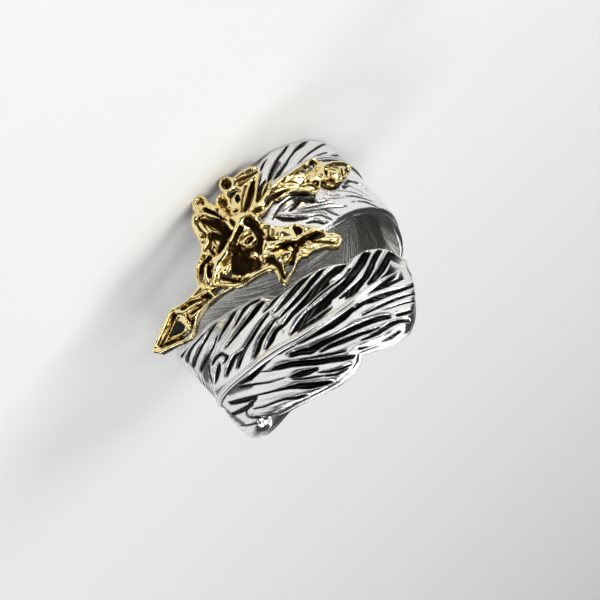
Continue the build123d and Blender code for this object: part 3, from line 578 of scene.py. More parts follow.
def vane(casting, barbs, side):
    """One vane of the band; gives back the ids of its outer and inner corners, and its lines."""
    lines = vane_lines(barbs)
    root, tip, reach, place = [lines[:, k:k + 1] for k in range(4)]
    made = []
    for count, outer in ((rows_along_barb, True), (rows_inside, False)):
        across = np.linspace(0, 1, count + 1)[None, :] ** (outer_spacing if outer else inner_spacing)
        turn = root + (tip - root) * across
        base = smooth(QUILL, turn) * ring_height
        height = band_height(turn, across, side)
        height = base + (height - base) * (1 + (reach - 1) * across ** 6)
        height = np.clip(height, 0, ring_height)
        spring = band_spring(turn, across, side)
        number = np.arange(len(lines))[:, None] * line_run + 0 * across
        run = np.stack([number, across * barb_run + 0 * number, side_run * side + 0 * number], -1)
        if outer:
            lively = ramp(*back_begins, turn) * (1 - ramp(*back_ends, turn))
            fade = ramp(*quill_fade, across) * (1 - edge_loss * ramp(*edge_fade, across))
            wall = ramp(*groove_flank, place)
            hair = np.exp(-((place - hair_middle) / hair_width) ** 2) * hair_rise
            profile = slope_share * place + flank_share * wall - hair
            own_depth = back_depth * groove_depth * profile * fade * lively
            cut_depth, cut_dark = graver(turn, height)
            crest = crest_depth * groove_depth * place * fade
            outline = band_height(turn, 1.0, side)
            to_edge = np.abs(base + (outline - base) * reach - height)
            lip = ramp(0.4 * lip_width, 1.3 * lip_width, to_edge)
            depth = np.maximum(own_depth, cut_depth * lip) + crest
            dark = np.maximum(wall * fade * lively, cut_dark * lip)
            near_round = near_edge_round * (0.4 + 0.6 * ramp(*full_round, turn))
            edge_round = far_edge_round if side < 0 else near_round
            inside = np.clip(1 - to_edge / edge_round, 0, 1)
            radius = band_crown(across) - depth + spring - edge_round * (1 - np.sqrt(1 - inside ** 2))
        else:
            # Painted shade inside the ring: lighter towards its mouth, and darker at the mouth beside the
            # head.
            shaded = (1 - ramp(*beside_head, turn)) * (side > 0)
            dark = bore_painted_shade * (1 - 0.8 * across ** 6) + mouth_painted_shade * shaded * across ** 9
            radius = finger_radius + (rim_ease + head_end_ease * shaded) * across ** 8 + spring
        ids = casting.add(on_ring(turn, height, radius), dark, run).reshape(turn.shape)
        casting.grid(ids, (side > 0) == outer)
        made.append(ids)
    return made[0], made[1], lines


def feather_band():
    """Both vanes, the quill between them, the bore and the rounded rim."""
    casting = Casting()
    hidden = loop_barbs()
    far = vane(casting, hidden + FAR_BARBS, -1)
    near = vane(casting, hidden + NEAR_BARBS, 1)
    share = np.linspace(0, 1, rows_along_barb + 1) ** outer_spacing
    nose_turns = quill_end_turn + (nose_turn - quill_end_turn) * share
    nose_height = smooth(QUILL, nose_turns) * ring_height
    nose_radius = band_crown(share) + quill_rise * 0.3 * (1 - share)
    nose = casting.add(on_ring(nose_turns, nose_height, nose_radius), 0.0)
    share = np.linspace(0, 1, rows_inside + 1) ** inner_spacing
    nose_turns = quill_end_turn + (nose_turn - quill_end_turn) * share
    nose_height = smooth(QUILL, nose_turns) * ring_height
    nose_radius = finger_radius + rim_ease * share ** 8
    # The inside of the nose gets the same painted shade as the bore.
    inner_nose = casting.add(on_ring(nose_turns, nose_height, nose_radius), bore_painted_shade)
    turns = np.arange(head_end_turn, quill_end_turn, 1.0)
    taper = smooth(QUILL_TAPER, turns)
    spring = band_spring(turns, 0.0, 1)
    middle = smooth(QUILL, turns) * ring_height
    lines = []
    for offset, lift, shade in QUILL_PROFILE:
        radius = band_crown(0) + quill_rise * lift * taper + spring
        lines.append(casting.add(on_ring(turns, middle + offset * quill_half * taper, radius), shade))
    quill = np.array(lines)
    casting.grid(quill, True)
    # The inside under the quill gets the same painted shade as the bore.
    inner_quill = casting.add(on_ring(turns, middle, finger_radius + spring), bore_painted_shade)
    for part, side, line in ((far, -1, quill[0]), (near, 1, quill[-1])):
        ids, inner, rows = part
        root_turns = np.append(rows[:, 0], quill_end_turn + 1)
        line_turns = np.append(turns, quill_end_turn)
        joins = ((ids, line, nose, side > 0), (inner, inner_quill, inner_nose, side < 0))
        for corners, middle, end, flip in joins:
            roots = np.append(corners[:, 0], end[0])
            casting.strip(np.append(middle, end[0]), roots, line_turns, root_turns, flip)
        for corners, middle, end, flip in joins:
            keys = np.arange(len(end))
            casting.strip(corners[-1], end, keys, keys + 0.5, flip)
    for a, b in zip(quill[:-1, -1], quill[1:, -1]):
        casting.faces.append([a, nose[0], b])
    rim(casting, far, near, nose, inner_nose, quill, inner_quill)
    return casting.piece("feather_band_silver")


# The rim: how far it bulges, how dark it is, and how much darker painted shade makes it beside
# the head, below a height given as a share of ring_height
rim_bulge = 0.00018
rim_dark = 0.03
rim_painted_shade = 0.22
shade_top = 0.55


def rim(casting, far, near, nose, inner_nose, quill, inner_quill):
    """Close the casting along its outline with a rounded edge."""
    outer, inner = [np.concatenate([far[k][1:, -1], [end[-1]], near[k][:0:-1, -1]])
                    for k, end in enumerate((nose, inner_nose))]
    points = np.concatenate(casting.points)
    middles = []
    for share in (0.2, 0.5, 0.8):
        bulge = rim_bulge * math.sin(math.pi * share)
        a, b = points[outer], points[inner]
        middle = a + (b - a) * share
        centre = np.roll(middle, 1, 0)
        along = np.roll(middle, -1, 0) - centre
        along[0], along[-1] = along[1], along[-2]
        out = np.cross(along, b - a)
        length = np.linalg.norm(out, axis=1, keepdims=True)
        middle = middle + out / np.maximum(length, 1e-9) * bulge
        middle[:, 2] = np.clip(middle[:, 2], 0, ring_height)
        turn = np.degrees(np.arctan2(-middle[:, 0], -middle[:, 1])) % 360
        # Painted shade on the rim beside the head, low on the ring.
        shaded = (1 - ramp(*beside_head, turn)) * (middle[:, 2] < shade_top * ring_height)
        middles.append(casting.add(middle, rim_dark + rim_painted_shade * shaded))
    rows = np.array([outer] + middles + [inner])
    casting.grid(rows, False)
    start_outer = np.concatenate([near[0][0][::-1], quill[::-1, 0], far[0][0]])
    start_inner = np.concatenate([near[1][0][::-1], [inner_quill[0]], far[1][0]])
    outer_keys = np.linspace(0, 1, len(start_outer))
    inner_keys = np.linspace(0, 1, len(start_inner))
    casting.strip(start_outer, start_inner, outer_keys, inner_keys, True)
    rim_keys = np.linspace(0.1, 0.9, len(rows))
    for part, column in ((far, rows[:, 0]), (near, rows[:, -1])):
        casting.strip([part[0][0][-1], part[1][0][-1]], column, [0, 1], rim_keys, False)


band = feather_band()
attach(band, "root")
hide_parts("feather_band")


def add_node(tree, kind, inputs, **settings):
    """A new shader node: its settings, then each input as a value or as a link from an output."""
    node = tree.nodes.new("ShaderNode" + kind)
    for name, value in settings.items():
        setattr(node, name, value)
    for socket, value in inputs.items():
        if isinstance(value, bpy.types.NodeSocket):
            tree.links.new(value, node.inputs[socket])
        else:
            node.inputs[socket].default_value = value
    return node


# The aged and shaded metal: how much the grain and the polishing lines fray the edge of the oxide
# and painted shade, from how far below the spread to how far above it they come up, how much of
# them the stronger lines scratch off, and how the lines and the pits, deeper in the dark, weigh in
# the relief
grain_weight, line_weight = 0.50, 0.95
dark_below, dark_above = 0.42, 0.30
scratch_from, scratch_full, scratch_most = 0.56, 0.70, 0.62
line_relief, pit_clean, pit_in_dark = 0.6, 0.25, 1.6


def aged_and_shaded_casting():
    """Node group: oxide and painted shade in the recesses, and fine polishing lines on the crests."""
    group = bpy.data.node_groups.new("aged_and_shaded_casting", "ShaderNodeTree")
    socket = group.interface.new_socket
    for name, value in (("Recess", 0.0), ("Spread", 0.5), ("Grain size", 4000.0), ("Line size", 1.0),
                        ("Streaks", 1.0)):
        socket(name, in_out="INPUT", socket_type="NodeSocketFloat").default_value = value
    socket("Run", in_out="INPUT", socket_type="NodeSocketVector")
    for name in ("Oxide_and_shade", "Tone", "Height"):
        socket(name, in_out="OUTPUT", socket_type="NodeSocketFloat")
    given = group.nodes.new("NodeGroupInput").outputs
    out = group.nodes.new("NodeGroupOutput").inputs

    def join(kind, a, b):
        return add_node(group, "Math", {0: a, 1: b}, operation=kind).outputs[0]

    place = add_node(group, "TexCoord", {}).outputs["Object"]
    grain = add_node(group, "TexNoise", {"Vector": place, "Scale": given["Grain size"], "Detail": 4})
    lines = add_node(group, "TexNoise", {"Vector": given["Run"], "Scale": given["Line size"], "Detail": 3})
    rough_edge = join("SUBTRACT", grain.outputs["Fac"], 0.5)
    rough_line = join("MULTIPLY", join("SUBTRACT", lines.outputs["Fac"], 0.5), given["Streaks"])
    ragged = join("ADD", join("MULTIPLY", rough_edge, grain_weight),
                  join("MULTIPLY", rough_line, line_weight))
    # The dark step holds the oxide and the painted shade of the recess attribute.
    step = add_node(group, "MapRange", {
        "Value": join("ADD", given["Recess"], ragged),
        "From Min": join("SUBTRACT", given["Spread"], dark_below),
        "From Max": join("ADD", given["Spread"], dark_above),
    }).outputs["Result"]
    scratch = add_node(group, "MapRange", {
        "Value": lines.outputs["Fac"], "From Min": scratch_from, "From Max": scratch_full,
        "To Max": scratch_most,
    }).outputs["Result"]
    worn = join("MULTIPLY", scratch, given["Streaks"])
    pitted = join("MULTIPLY", rough_edge, join("ADD", join("MULTIPLY", step, pit_in_dark), pit_clean))
    for name, value in (
        ("Oxide_and_shade", join("SUBTRACT", step, join("MULTIPLY", worn, step))),
        ("Tone", join("ADD", rough_line, 0.5)),
        ("Height", join("ADD", join("MULTIPLY", rough_line, line_relief), pitted)),
    ):
        group.links.new(value, out[name])
    return group


casting_age_and_shade = aged_and_shaded_casting()


def metal(name, clean, satin, patina_and_shade, oxide_and_shade, spread, grain_size, line_size, streaks, smoothness):
    """A polished metal, grey towards its recesses and dark in them, with patina and oxide and with painted
    shade.
    """
    material, tree, sockets = new_material(name)
    sockets["Metallic"].default_value = 1.0
    # The dark attribute holds oxide and painted shade.
    recess = add_node(tree, "Attribute", {}, attribute_name="dark").outputs["Fac"]
    run = add_node(tree, "Attribute", {}, attribute_name="run").outputs["Vector"]
    age = add_node(tree, "Group", {
        "Recess": recess, "Run": run, "Spread": spread, "Grain size": grain_size,
        "Line size": line_size, "Streaks": streaks,
    }, node_tree=casting_age_and_shade).outputs
    layers = add_node(tree, "ValToRGB", {"Fac": age["Oxide_and_shade"]})
    stops = layers.color_ramp.elements
    stops[0].color = (*clean, 1)
    stops[1].color = (*oxide_and_shade, 1)
    for place, colour in ((0.20, satin), (0.45, patina_and_shade), (0.92, oxide_and_shade)):
        stops.new(place).color = (*colour, 1)
    shade = add_node(tree, "MapRange", {"Value": age["Tone"], "To Min": 0.72, "To Max": 1.12})
    tone = add_node(tree, "Mix", {
        "Factor": 1.0, "A": layers.outputs["Color"], "B": shade.outputs["Result"],
    }, data_type="RGBA", blend_type="MULTIPLY")
    rough = add_node(tree, "MapRange", {"Value": age["Oxide_and_shade"], "To Min": smoothness, "To Max": 0.45})
    bump = add_node(tree, "Bump", {"Height": age["Height"], "Strength": 0.35, "Distance": 0.00008})
    tree.links.new(tone.outputs["Result"], sockets["Base Color"])
    tree.links.new(rough.outputs["Result"], sockets["Roughness"])
    tree.links.new(bump.outputs["Normal"], sockets["Normal"])
    return material


silver = metal(
    "blackened_silver", clean=(0.96, 0.955, 0.94), satin=(0.80, 0.79, 0.77), patina_and_shade=(0.22, 0.215, 0.20),
    oxide_and_shade=(0.008, 0.007, 0.006), spread=0.5, grain_size=9000.0, line_size=1.0, streaks=1.0,
    smoothness=0.16)
band.data.materials.append(silver)


# The phoenix head: brow, nose ridge, hooked beak, rippled ear, crest and plume. A gold plated
# casting fixed to the band's outer face. It was modelled in wax like clay, so its ridges are
# strokes that melt together, and its hollows are gouged from above.
face_width = 0.0100
head_thickness = 0.0026
head_gap = 0.00008
head_rise = spine_wall + head_gap + head_thickness

# Ridges of the head, each a chain of (along, across, top, girth) in thousandths. Along runs
# from the brow to the beak and across from far rim to jaw; both are of face_width, like the
# girth, and the ridge's top over the bore is of head_rise.
HEAD_RIDGES = {
    "socket_base": [(166, 228, 580, 113), (154, 388, 560, 130), (230, 453, 580, 87)],
    "left_base": [(188, 184, 620, 61), (263, 325, 620, 52), (337, 432, 620, 70), (457, 491, 610, 43)],
    "cheek_speck": [(140, 607, 760, 7), (135, 635, 750, 6)],
    "cheek_patch": [(64, 774, 730, 13), (100, 796, 710, 17), (135, 809, 690, 10)],
    "nose_base": [(-61, 499, 840, 61), (65, 539, 770, 43), (215, 579, 700, 61), (385, 595, 680, 70),
        (491, 629, 630, 52)],
    "cheek_base": [(-63, 573, 710, 104), (61, 677, 680, 130), (191, 700, 650, 96), (311, 669, 640, 70)],
    "cheek_low": [(23, 826, 590, 70), (140, 810, 590, 70), (269, 756, 590, 52), (371, 687, 580, 43)],
    "mane_base": [(-140, 628, 700, 61), (-135, 740, 680, 70), (-53, 817, 630, 70), (-31, 917, 580, 61),
        (-24, 1018, 560, 43)],
    "ear_base": [(-166, 698, 680, 78), (-247, 774, 670, 70), (-341, 833, 650, 70), (-440, 887, 630, 43)],
    "ear_low": [(-102, 881, 590, 78), (-172, 949, 580, 70), (-277, 971, 560, 52), (-415, 1003, 560, 52),
        (-521, 1065, 580, 48)],
    "crest_base": [(-132, 393, 680, 61), (-256, 284, 550, 61), (-375, 207, 530, 35)],
    "crest_base_b": [(-207, 456, 720, 52), (-326, 369, 590, 43), (-431, 310, 550, 35)],
    "crown_base": [(-18, 404, 790, 52), (-94, 484, 880, 52), (-144, 571, 860, 35)],
    "knob_base": [(96, 44, 560, 52), (92, 113, 590, 52)],
    "bar_base": [(64, 108, 600, 35), (26, 217, 630, 39), (-6, 354, 720, 35)],
    "pips_base": [(-57, 178, 550, 65), (-116, 267, 580, 70), (-77, 343, 650, 43)],
    "lobe_base": [(-198, 87, 530, 52), (-307, 121, 520, 52), (-418, 138, 520, 43)],
    "plume_base": [(-242, 460, 700, 43), (-387, 407, 620, 43), (-526, 398, 600, 43), (-680, 418, 580, 52),
        (-836, 420, 560, 61)],
    "plume_base_b": [(-486, 427, 550, 26), (-627, 488, 550, 30), (-744, 532, 550, 35)],
    "bud_base": [(-940, 449, 560, 61), (-1032, 482, 580, 78), (-1192, 459, 580, 57)],
    "beak_base": [(510, 633, 620, 61), (642, 629, 590, 61), (741, 661, 560, 61), (889, 678, 540, 104),
        (1055, 704, 530, 70), (1210, 693, 530, 26)],
    "brow": [(189, 113, 650, 20), (150, 139, 680, 17), (103, 181, 700, 15), (75, 245, 720, 15),
        (48, 322, 740, 15), (30, 402, 790, 16), (26, 473, 840, 16)],
    "bar": [(59, 80, 620, 26), (37, 153, 650, 28), (17, 230, 690, 23), (-1, 306, 720, 21),
        (-17, 391, 790, 21)],
    "bar_lip": [(53, 147, 650, 13), (42, 232, 680, 11), (22, 308, 710, 10), (4, 372, 740, 9)],
    "nose": [(-58, 476, 930, 42), (0, 515, 900, 34), (56, 543, 880, 29), (118, 563, 860, 27),
        (174, 578, 840, 29), (236, 582, 810, 37), (288, 551, 790, 38)],
    "nose_low": [(274, 583, 790, 34), (334, 605, 770, 24), (393, 641, 740, 19), (444, 659, 720, 17),
        (507, 646, 680, 17)],
    "crown": [(-22, 409, 860, 28), (-74, 456, 950, 35), (-118, 504, 990, 28), (-143, 556, 960, 21),
        (-139, 600, 900, 14), (-129, 627, 860, 10)],
    "left_rim": [(187, 114, 640, 28), (235, 158, 640, 28), (255, 224, 650, 26), (269, 297, 670, 21),
        (294, 358, 670, 19), (328, 408, 670, 21), (400, 432, 670, 19), (460, 455, 650, 17),
        (509, 502, 640, 17), (543, 563, 630, 17), (566, 601, 630, 21)],
    "socket_lip": [(176, 165, 650, 11), (192, 209, 670, 13), (197, 266, 680, 14), (194, 330, 680, 13),
        (200, 392, 680, 12), (218, 425, 670, 10), (260, 441, 650, 10), (289, 472, 650, 14)],
    "inner_strand": [(217, 328, 670, 14), (236, 368, 670, 16), (280, 384, 670, 15), (322, 402, 670, 14),
        (320, 447, 670, 21)],
    "crescent": [(162, 252, 630, 6), (166, 297, 630, 8), (158, 342, 630, 10), (130, 389, 630, 10),
        (86, 415, 630, 8), (53, 428, 630, 5)],
    "streak_a": [(158, 454, 640, 6), (96, 488, 650, 7)],
    "streak_b": [(198, 476, 640, 5), (123, 507, 650, 6)],
    "streak_c": [(221, 444, 640, 14), (248, 489, 640, 16)],
    "streak_d": [(141, 237, 620, 4), (103, 312, 620, 4)],
    "streak_e": [(88, 307, 620, 4), (64, 365, 620, 4)],
    "almond": [(365, 519, 770, 10), (406, 544, 770, 11), (446, 587, 760, 14), (469, 629, 730, 19)],
    "knob_ring": [(37, 90, 610, 19), (37, 34, 610, 14), (71, 3, 610, 16), (111, 9, 610, 19),
        (143, 61, 620, 23), (137, 114, 640, 19)],
    "eye_top": [(59, 562, 790, 10), (-5, 573, 810, 12), (-68, 594, 810, 11), (-61, 639, 800, 10),
        (-52, 704, 790, 7)],
    "eye_low": [(59, 562, 790, 9), (67, 625, 780, 6), (56, 692, 780, 7), (37, 719, 780, 7),
        (-15, 715, 770, 6)],
    "eye_ring": [(45, 615, 790, 11), (41, 660, 790, 10), (9, 683, 790, 9), (-38, 672, 790, 9),
        (-50, 637, 790, 10), (-5, 610, 790, 9), (45, 615, 790, 11)],
    "bump_a": [(91, 762, 730, 8), (63, 774, 740, 12), (53, 799, 730, 9)],
    "bump_b": [(128, 788, 720, 9), (99, 817, 720, 11), (124, 822, 720, 8)],
    "vee": [(145, 591, 740, 9), (139, 632, 740, 9), (119, 629, 730, 6)],
    "triangle": [(318, 631, 720, 16), (274, 672, 740, 24), (304, 681, 710, 12)],
    "spike": [(259, 669, 740, 14), (188, 670, 760, 6)],
    "crumb_a": [(259, 758, 680, 8), (253, 792, 680, 10)],
    "crumb_b": [(242, 827, 680, 8), (210, 838, 680, 10), (175, 835, 680, 8)],
    "cheek_edge": [(-95, 725, 740, 10), (-51, 771, 720, 12), (-3, 824, 700, 10)],
    "jaw_rail": [(15, 1100, 550, 23), (15, 1065, 590, 21), (-7, 1007, 610, 17), (-5, 958, 620, 19),
        (28, 920, 620, 20), (74, 898, 620, 21), (135, 877, 610, 21), (201, 863, 610, 21),
        (262, 850, 610, 21), (315, 826, 610, 20), (363, 767, 600, 17), (421, 707, 600, 17),
        (479, 675, 600, 17)],
    "jaw_line": [(-11, 1054, 580, 6), (-31, 1001, 600, 7), (-26, 950, 610, 7), (4, 914, 610, 7),
        (49, 888, 600, 6)],
    "jaw_back": [(2, 1109, 590, 10), (-55, 1089, 590, 9), (-109, 1072, 590, 8), (-162, 1039, 590, 8),
        (-195, 1007, 600, 10), (-203, 1030, 590, 12)],
    "mane_a": [(-151, 612, 770, 13), (-185, 645, 770, 14), (-199, 671, 760, 14)],
    "mane_b": [(-136, 656, 730, 7), (-133, 702, 730, 8)],
    "mane_c": [(-186, 686, 740, 10), (-161, 728, 720, 9)],
    "mane_d": [(-196, 742, 730, 8), (-171, 762, 720, 9)],
    "mane_e": [(-211, 760, 720, 6), (-194, 796, 710, 9)],
    "mane_f": [(-94, 752, 730, 9), (-63, 784, 720, 8)],
    "ear_slab": [(-195, 708, 720, 23), (-238, 763, 720, 35), (-271, 810, 710, 37), (-280, 864, 700, 23)],
    "ear_top": [(-218, 698, 730, 10), (-268, 747, 730, 10), (-316, 774, 720, 11), (-364, 774, 690, 7)],
    "ear_lip": [(-92, 774, 700, 14), (-141, 800, 700, 16), (-201, 826, 700, 17), (-248, 868, 700, 15),
        (-292, 900, 700, 14), (-344, 909, 700, 16), (-409, 913, 680, 17), (-459, 926, 670, 14)],
    "ear_right": [(-392, 850, 690, 16), (-432, 882, 680, 20), (-476, 918, 650, 16), (-499, 968, 640, 10),
        (-507, 1011, 640, 11)],
    "horn": [(-494, 1002, 630, 12), (-544, 1029, 630, 17), (-569, 1073, 630, 16), (-564, 1111, 620, 13),
        (-532, 1133, 600, 10), (-490, 1116, 600, 8), (-442, 1073, 600, 8), (-393, 1058, 590, 8),
        (-331, 1033, 590, 8)],
    "horn_rib": [(-421, 1000, 620, 10), (-483, 1030, 630, 13), (-546, 1081, 630, 11)],
    "horn_bumps": [(-272, 973, 620, 10), (-311, 994, 630, 13), (-359, 1009, 620, 12), (-399, 1030, 600, 9)],
    "horn_curl": [(-328, 943, 620, 7), (-355, 961, 620, 7), (-364, 989, 620, 8)],
    "curl_a": [(-255, 981, 590, 6), (-269, 1022, 590, 7), (-305, 1041, 590, 7), (-330, 1035, 590, 7)],
    "curl_b": [(-227, 978, 580, 10), (-239, 1021, 580, 10), (-279, 1055, 580, 7)],
    "low_lobe": [(-83, 907, 650, 13), (-146, 926, 680, 22), (-177, 950, 670, 17), (-129, 967, 650, 17),
        (-90, 971, 640, 11)],
    "low_rib": [(-7, 824, 680, 8), (-53, 837, 680, 10), (-96, 846, 680, 7)],
    "low_crumb": [(-67, 857, 670, 7), (-83, 888, 650, 6)],
    "under_lip": [(-201, 884, 670, 9), (-219, 933, 650, 7)],
    "round_knob": [(-211, 37, 580, 14), (-167, 26, 580, 15), (-130, 52, 580, 15), (-115, 98, 580, 15),
        (-136, 140, 590, 16), (-181, 148, 590, 14), (-221, 115, 580, 13), (-233, 71, 580, 13),
        (-211, 37, 580, 14)],
    "pip_ring": [(-11, 174, 590, 13), (-32, 134, 590, 13), (-73, 127, 590, 13), (-108, 158, 600, 13),
        (-104, 213, 610, 11), (-66, 266, 630, 11), (-12, 248, 630, 12), (-9, 194, 610, 10)],
    "pip_ring_b": [(-107, 283, 630, 12), (-135, 232, 610, 10), (-187, 208, 590, 10), (-205, 245, 590, 10),
        (-174, 295, 610, 10), (-128, 313, 640, 13), (-89, 291, 640, 14)],
    "pip_c": [(-64, 309, 680, 12), (-48, 357, 720, 11), (-85, 394, 770, 11), (-119, 360, 700, 11)],
    "pip_d": [(-3, 260, 670, 11), (-7, 301, 700, 8)],
    "lobe_top": [(-254, 83, 550, 16), (-338, 80, 550, 23), (-413, 90, 550, 25), (-458, 112, 540, 17)],
    "lobe_low": [(-209, 144, 560, 19), (-240, 198, 560, 14), (-318, 175, 550, 10), (-391, 174, 540, 10),
        (-458, 161, 530, 8)],
    "crest_a": [(-127, 341, 690, 12), (-188, 260, 610, 11), (-258, 203, 560, 10)],
    "crest_b": [(-136, 377, 700, 6), (-207, 294, 620, 7), (-276, 231, 560, 7), (-338, 192, 540, 7)],
    "crest_c": [(-163, 440, 770, 14), (-241, 378, 680, 13), (-315, 301, 600, 11), (-388, 225, 550, 10),
        (-453, 173, 540, 7)],
    "crest_d": [(-338, 352, 620, 4), (-406, 301, 590, 4)],
    "crest_e": [(-253, 446, 740, 11), (-335, 398, 680, 10), (-406, 347, 630, 9), (-479, 285, 590, 7)],
    "rachis": [(-208, 455, 810, 19), (-273, 447, 770, 24), (-358, 406, 730, 21), (-449, 374, 700, 20),
        (-541, 357, 680, 18), (-643, 345, 650, 16), (-740, 332, 630, 12), (-856, 304, 610, 9)],
    "plume_mid": [(-300, 460, 720, 11), (-382, 427, 680, 11), (-444, 424, 650, 10), (-515, 435, 640, 11),
        (-589, 461, 630, 13), (-646, 481, 620, 10)],
    "plume_mid_b": [(-508, 403, 650, 10), (-569, 431, 640, 11), (-615, 466, 630, 9)],
    "plume_broad": [(-558, 364, 640, 14), (-648, 394, 640, 19), (-715, 405, 630, 24), (-744, 481, 610, 12),
        (-819, 480, 620, 26), (-907, 424, 620, 23), (-980, 351, 610, 14)],
    "plume_low": [(-403, 467, 610, 7), (-470, 472, 610, 8), (-544, 481, 610, 7), (-610, 503, 610, 8),
        (-665, 542, 600, 8), (-688, 582, 590, 8), (-723, 600, 590, 8), (-775, 569, 590, 8),
        (-838, 510, 600, 9), (-905, 456, 610, 9)],
    "leaf_lobe": [(-836, 332, 620, 10), (-883, 296, 620, 10), (-944, 306, 620, 10), (-934, 372, 620, 14),
        (-839, 402, 620, 9)],
    "leaf_square": [(-759, 419, 620, 14), (-744, 443, 610, 12)],
    "bud_top": [(-972, 404, 620, 13), (-1062, 401, 640, 20), (-1180, 418, 640, 21), (-1256, 448, 630, 21),
        (-1234, 490, 620, 14)],
    "bud_low": [(-1188, 525, 610, 8), (-1082, 571, 620, 9), (-997, 593, 620, 10), (-932, 584, 620, 12),
        (-898, 550, 620, 10), (-890, 508, 610, 8), (-907, 457, 610, 8), (-952, 417, 610, 9)],
    "bud_rib": [(-942, 525, 640, 10), (-981, 556, 640, 11), (-1040, 564, 630, 9)],
    "bud_rib_b": [(-970, 458, 630, 5), (-935, 490, 630, 5)],
    "bud_rib_c": [(-1058, 477, 630, 10), (-1035, 521, 630, 10)],
    "beak_left": [(566, 601, 630, 19), (662, 599, 620, 17), (725, 595, 610, 14), (800, 578, 600, 15),
        (869, 550, 600, 17), (932, 553, 600, 18), (999, 582, 590, 17), (1067, 610, 590, 17),
        (1141, 632, 580, 17), (1208, 655, 560, 17), (1234, 680, 560, 17)],
    "beak_right": [(1234, 680, 560, 17), (1206, 719, 560, 15), (1135, 749, 580, 14), (1062, 779, 580, 13),
        (990, 814, 590, 13), (925, 837, 590, 12), (866, 827, 590, 10), (816, 793, 590, 9),
        (769, 756, 590, 8), (715, 739, 600, 8), (646, 736, 610, 7), (576, 745, 620, 8), (510, 755, 620, 8),
        (440, 778, 630, 7), (374, 805, 640, 9)],
    "drop_left": [(877, 624, 590, 7), (940, 642, 590, 7), (999, 668, 590, 8), (1051, 694, 590, 9)],
    "drop_right": [(1065, 690, 590, 10), (1023, 727, 590, 9), (962, 757, 590, 9), (912, 764, 590, 9),
        (869, 739, 590, 10), (845, 690, 590, 8), (846, 655, 590, 7), (877, 624, 590, 7)],
    "drop_land": [(844, 759, 590, 14), (879, 783, 590, 12)],
    "loop": [(664, 618, 630, 9), (624, 640, 640, 10), (571, 651, 640, 10), (532, 677, 640, 10),
        (516, 718, 640, 8), (522, 751, 630, 7)],
    "loop_in": [(615, 695, 610, 6), (587, 720, 610, 6)],
    "fold": [(860, 591, 610, 16), (802, 648, 620, 17), (738, 664, 630, 19), (666, 682, 630, 12),
        (633, 697, 620, 8)],
    "fold_b": [(807, 706, 610, 10), (772, 729, 610, 11), (730, 731, 610, 8), (691, 734, 610, 6)],
    "neck_rib": [(462, 737, 640, 5), (414, 754, 640, 5)],
}
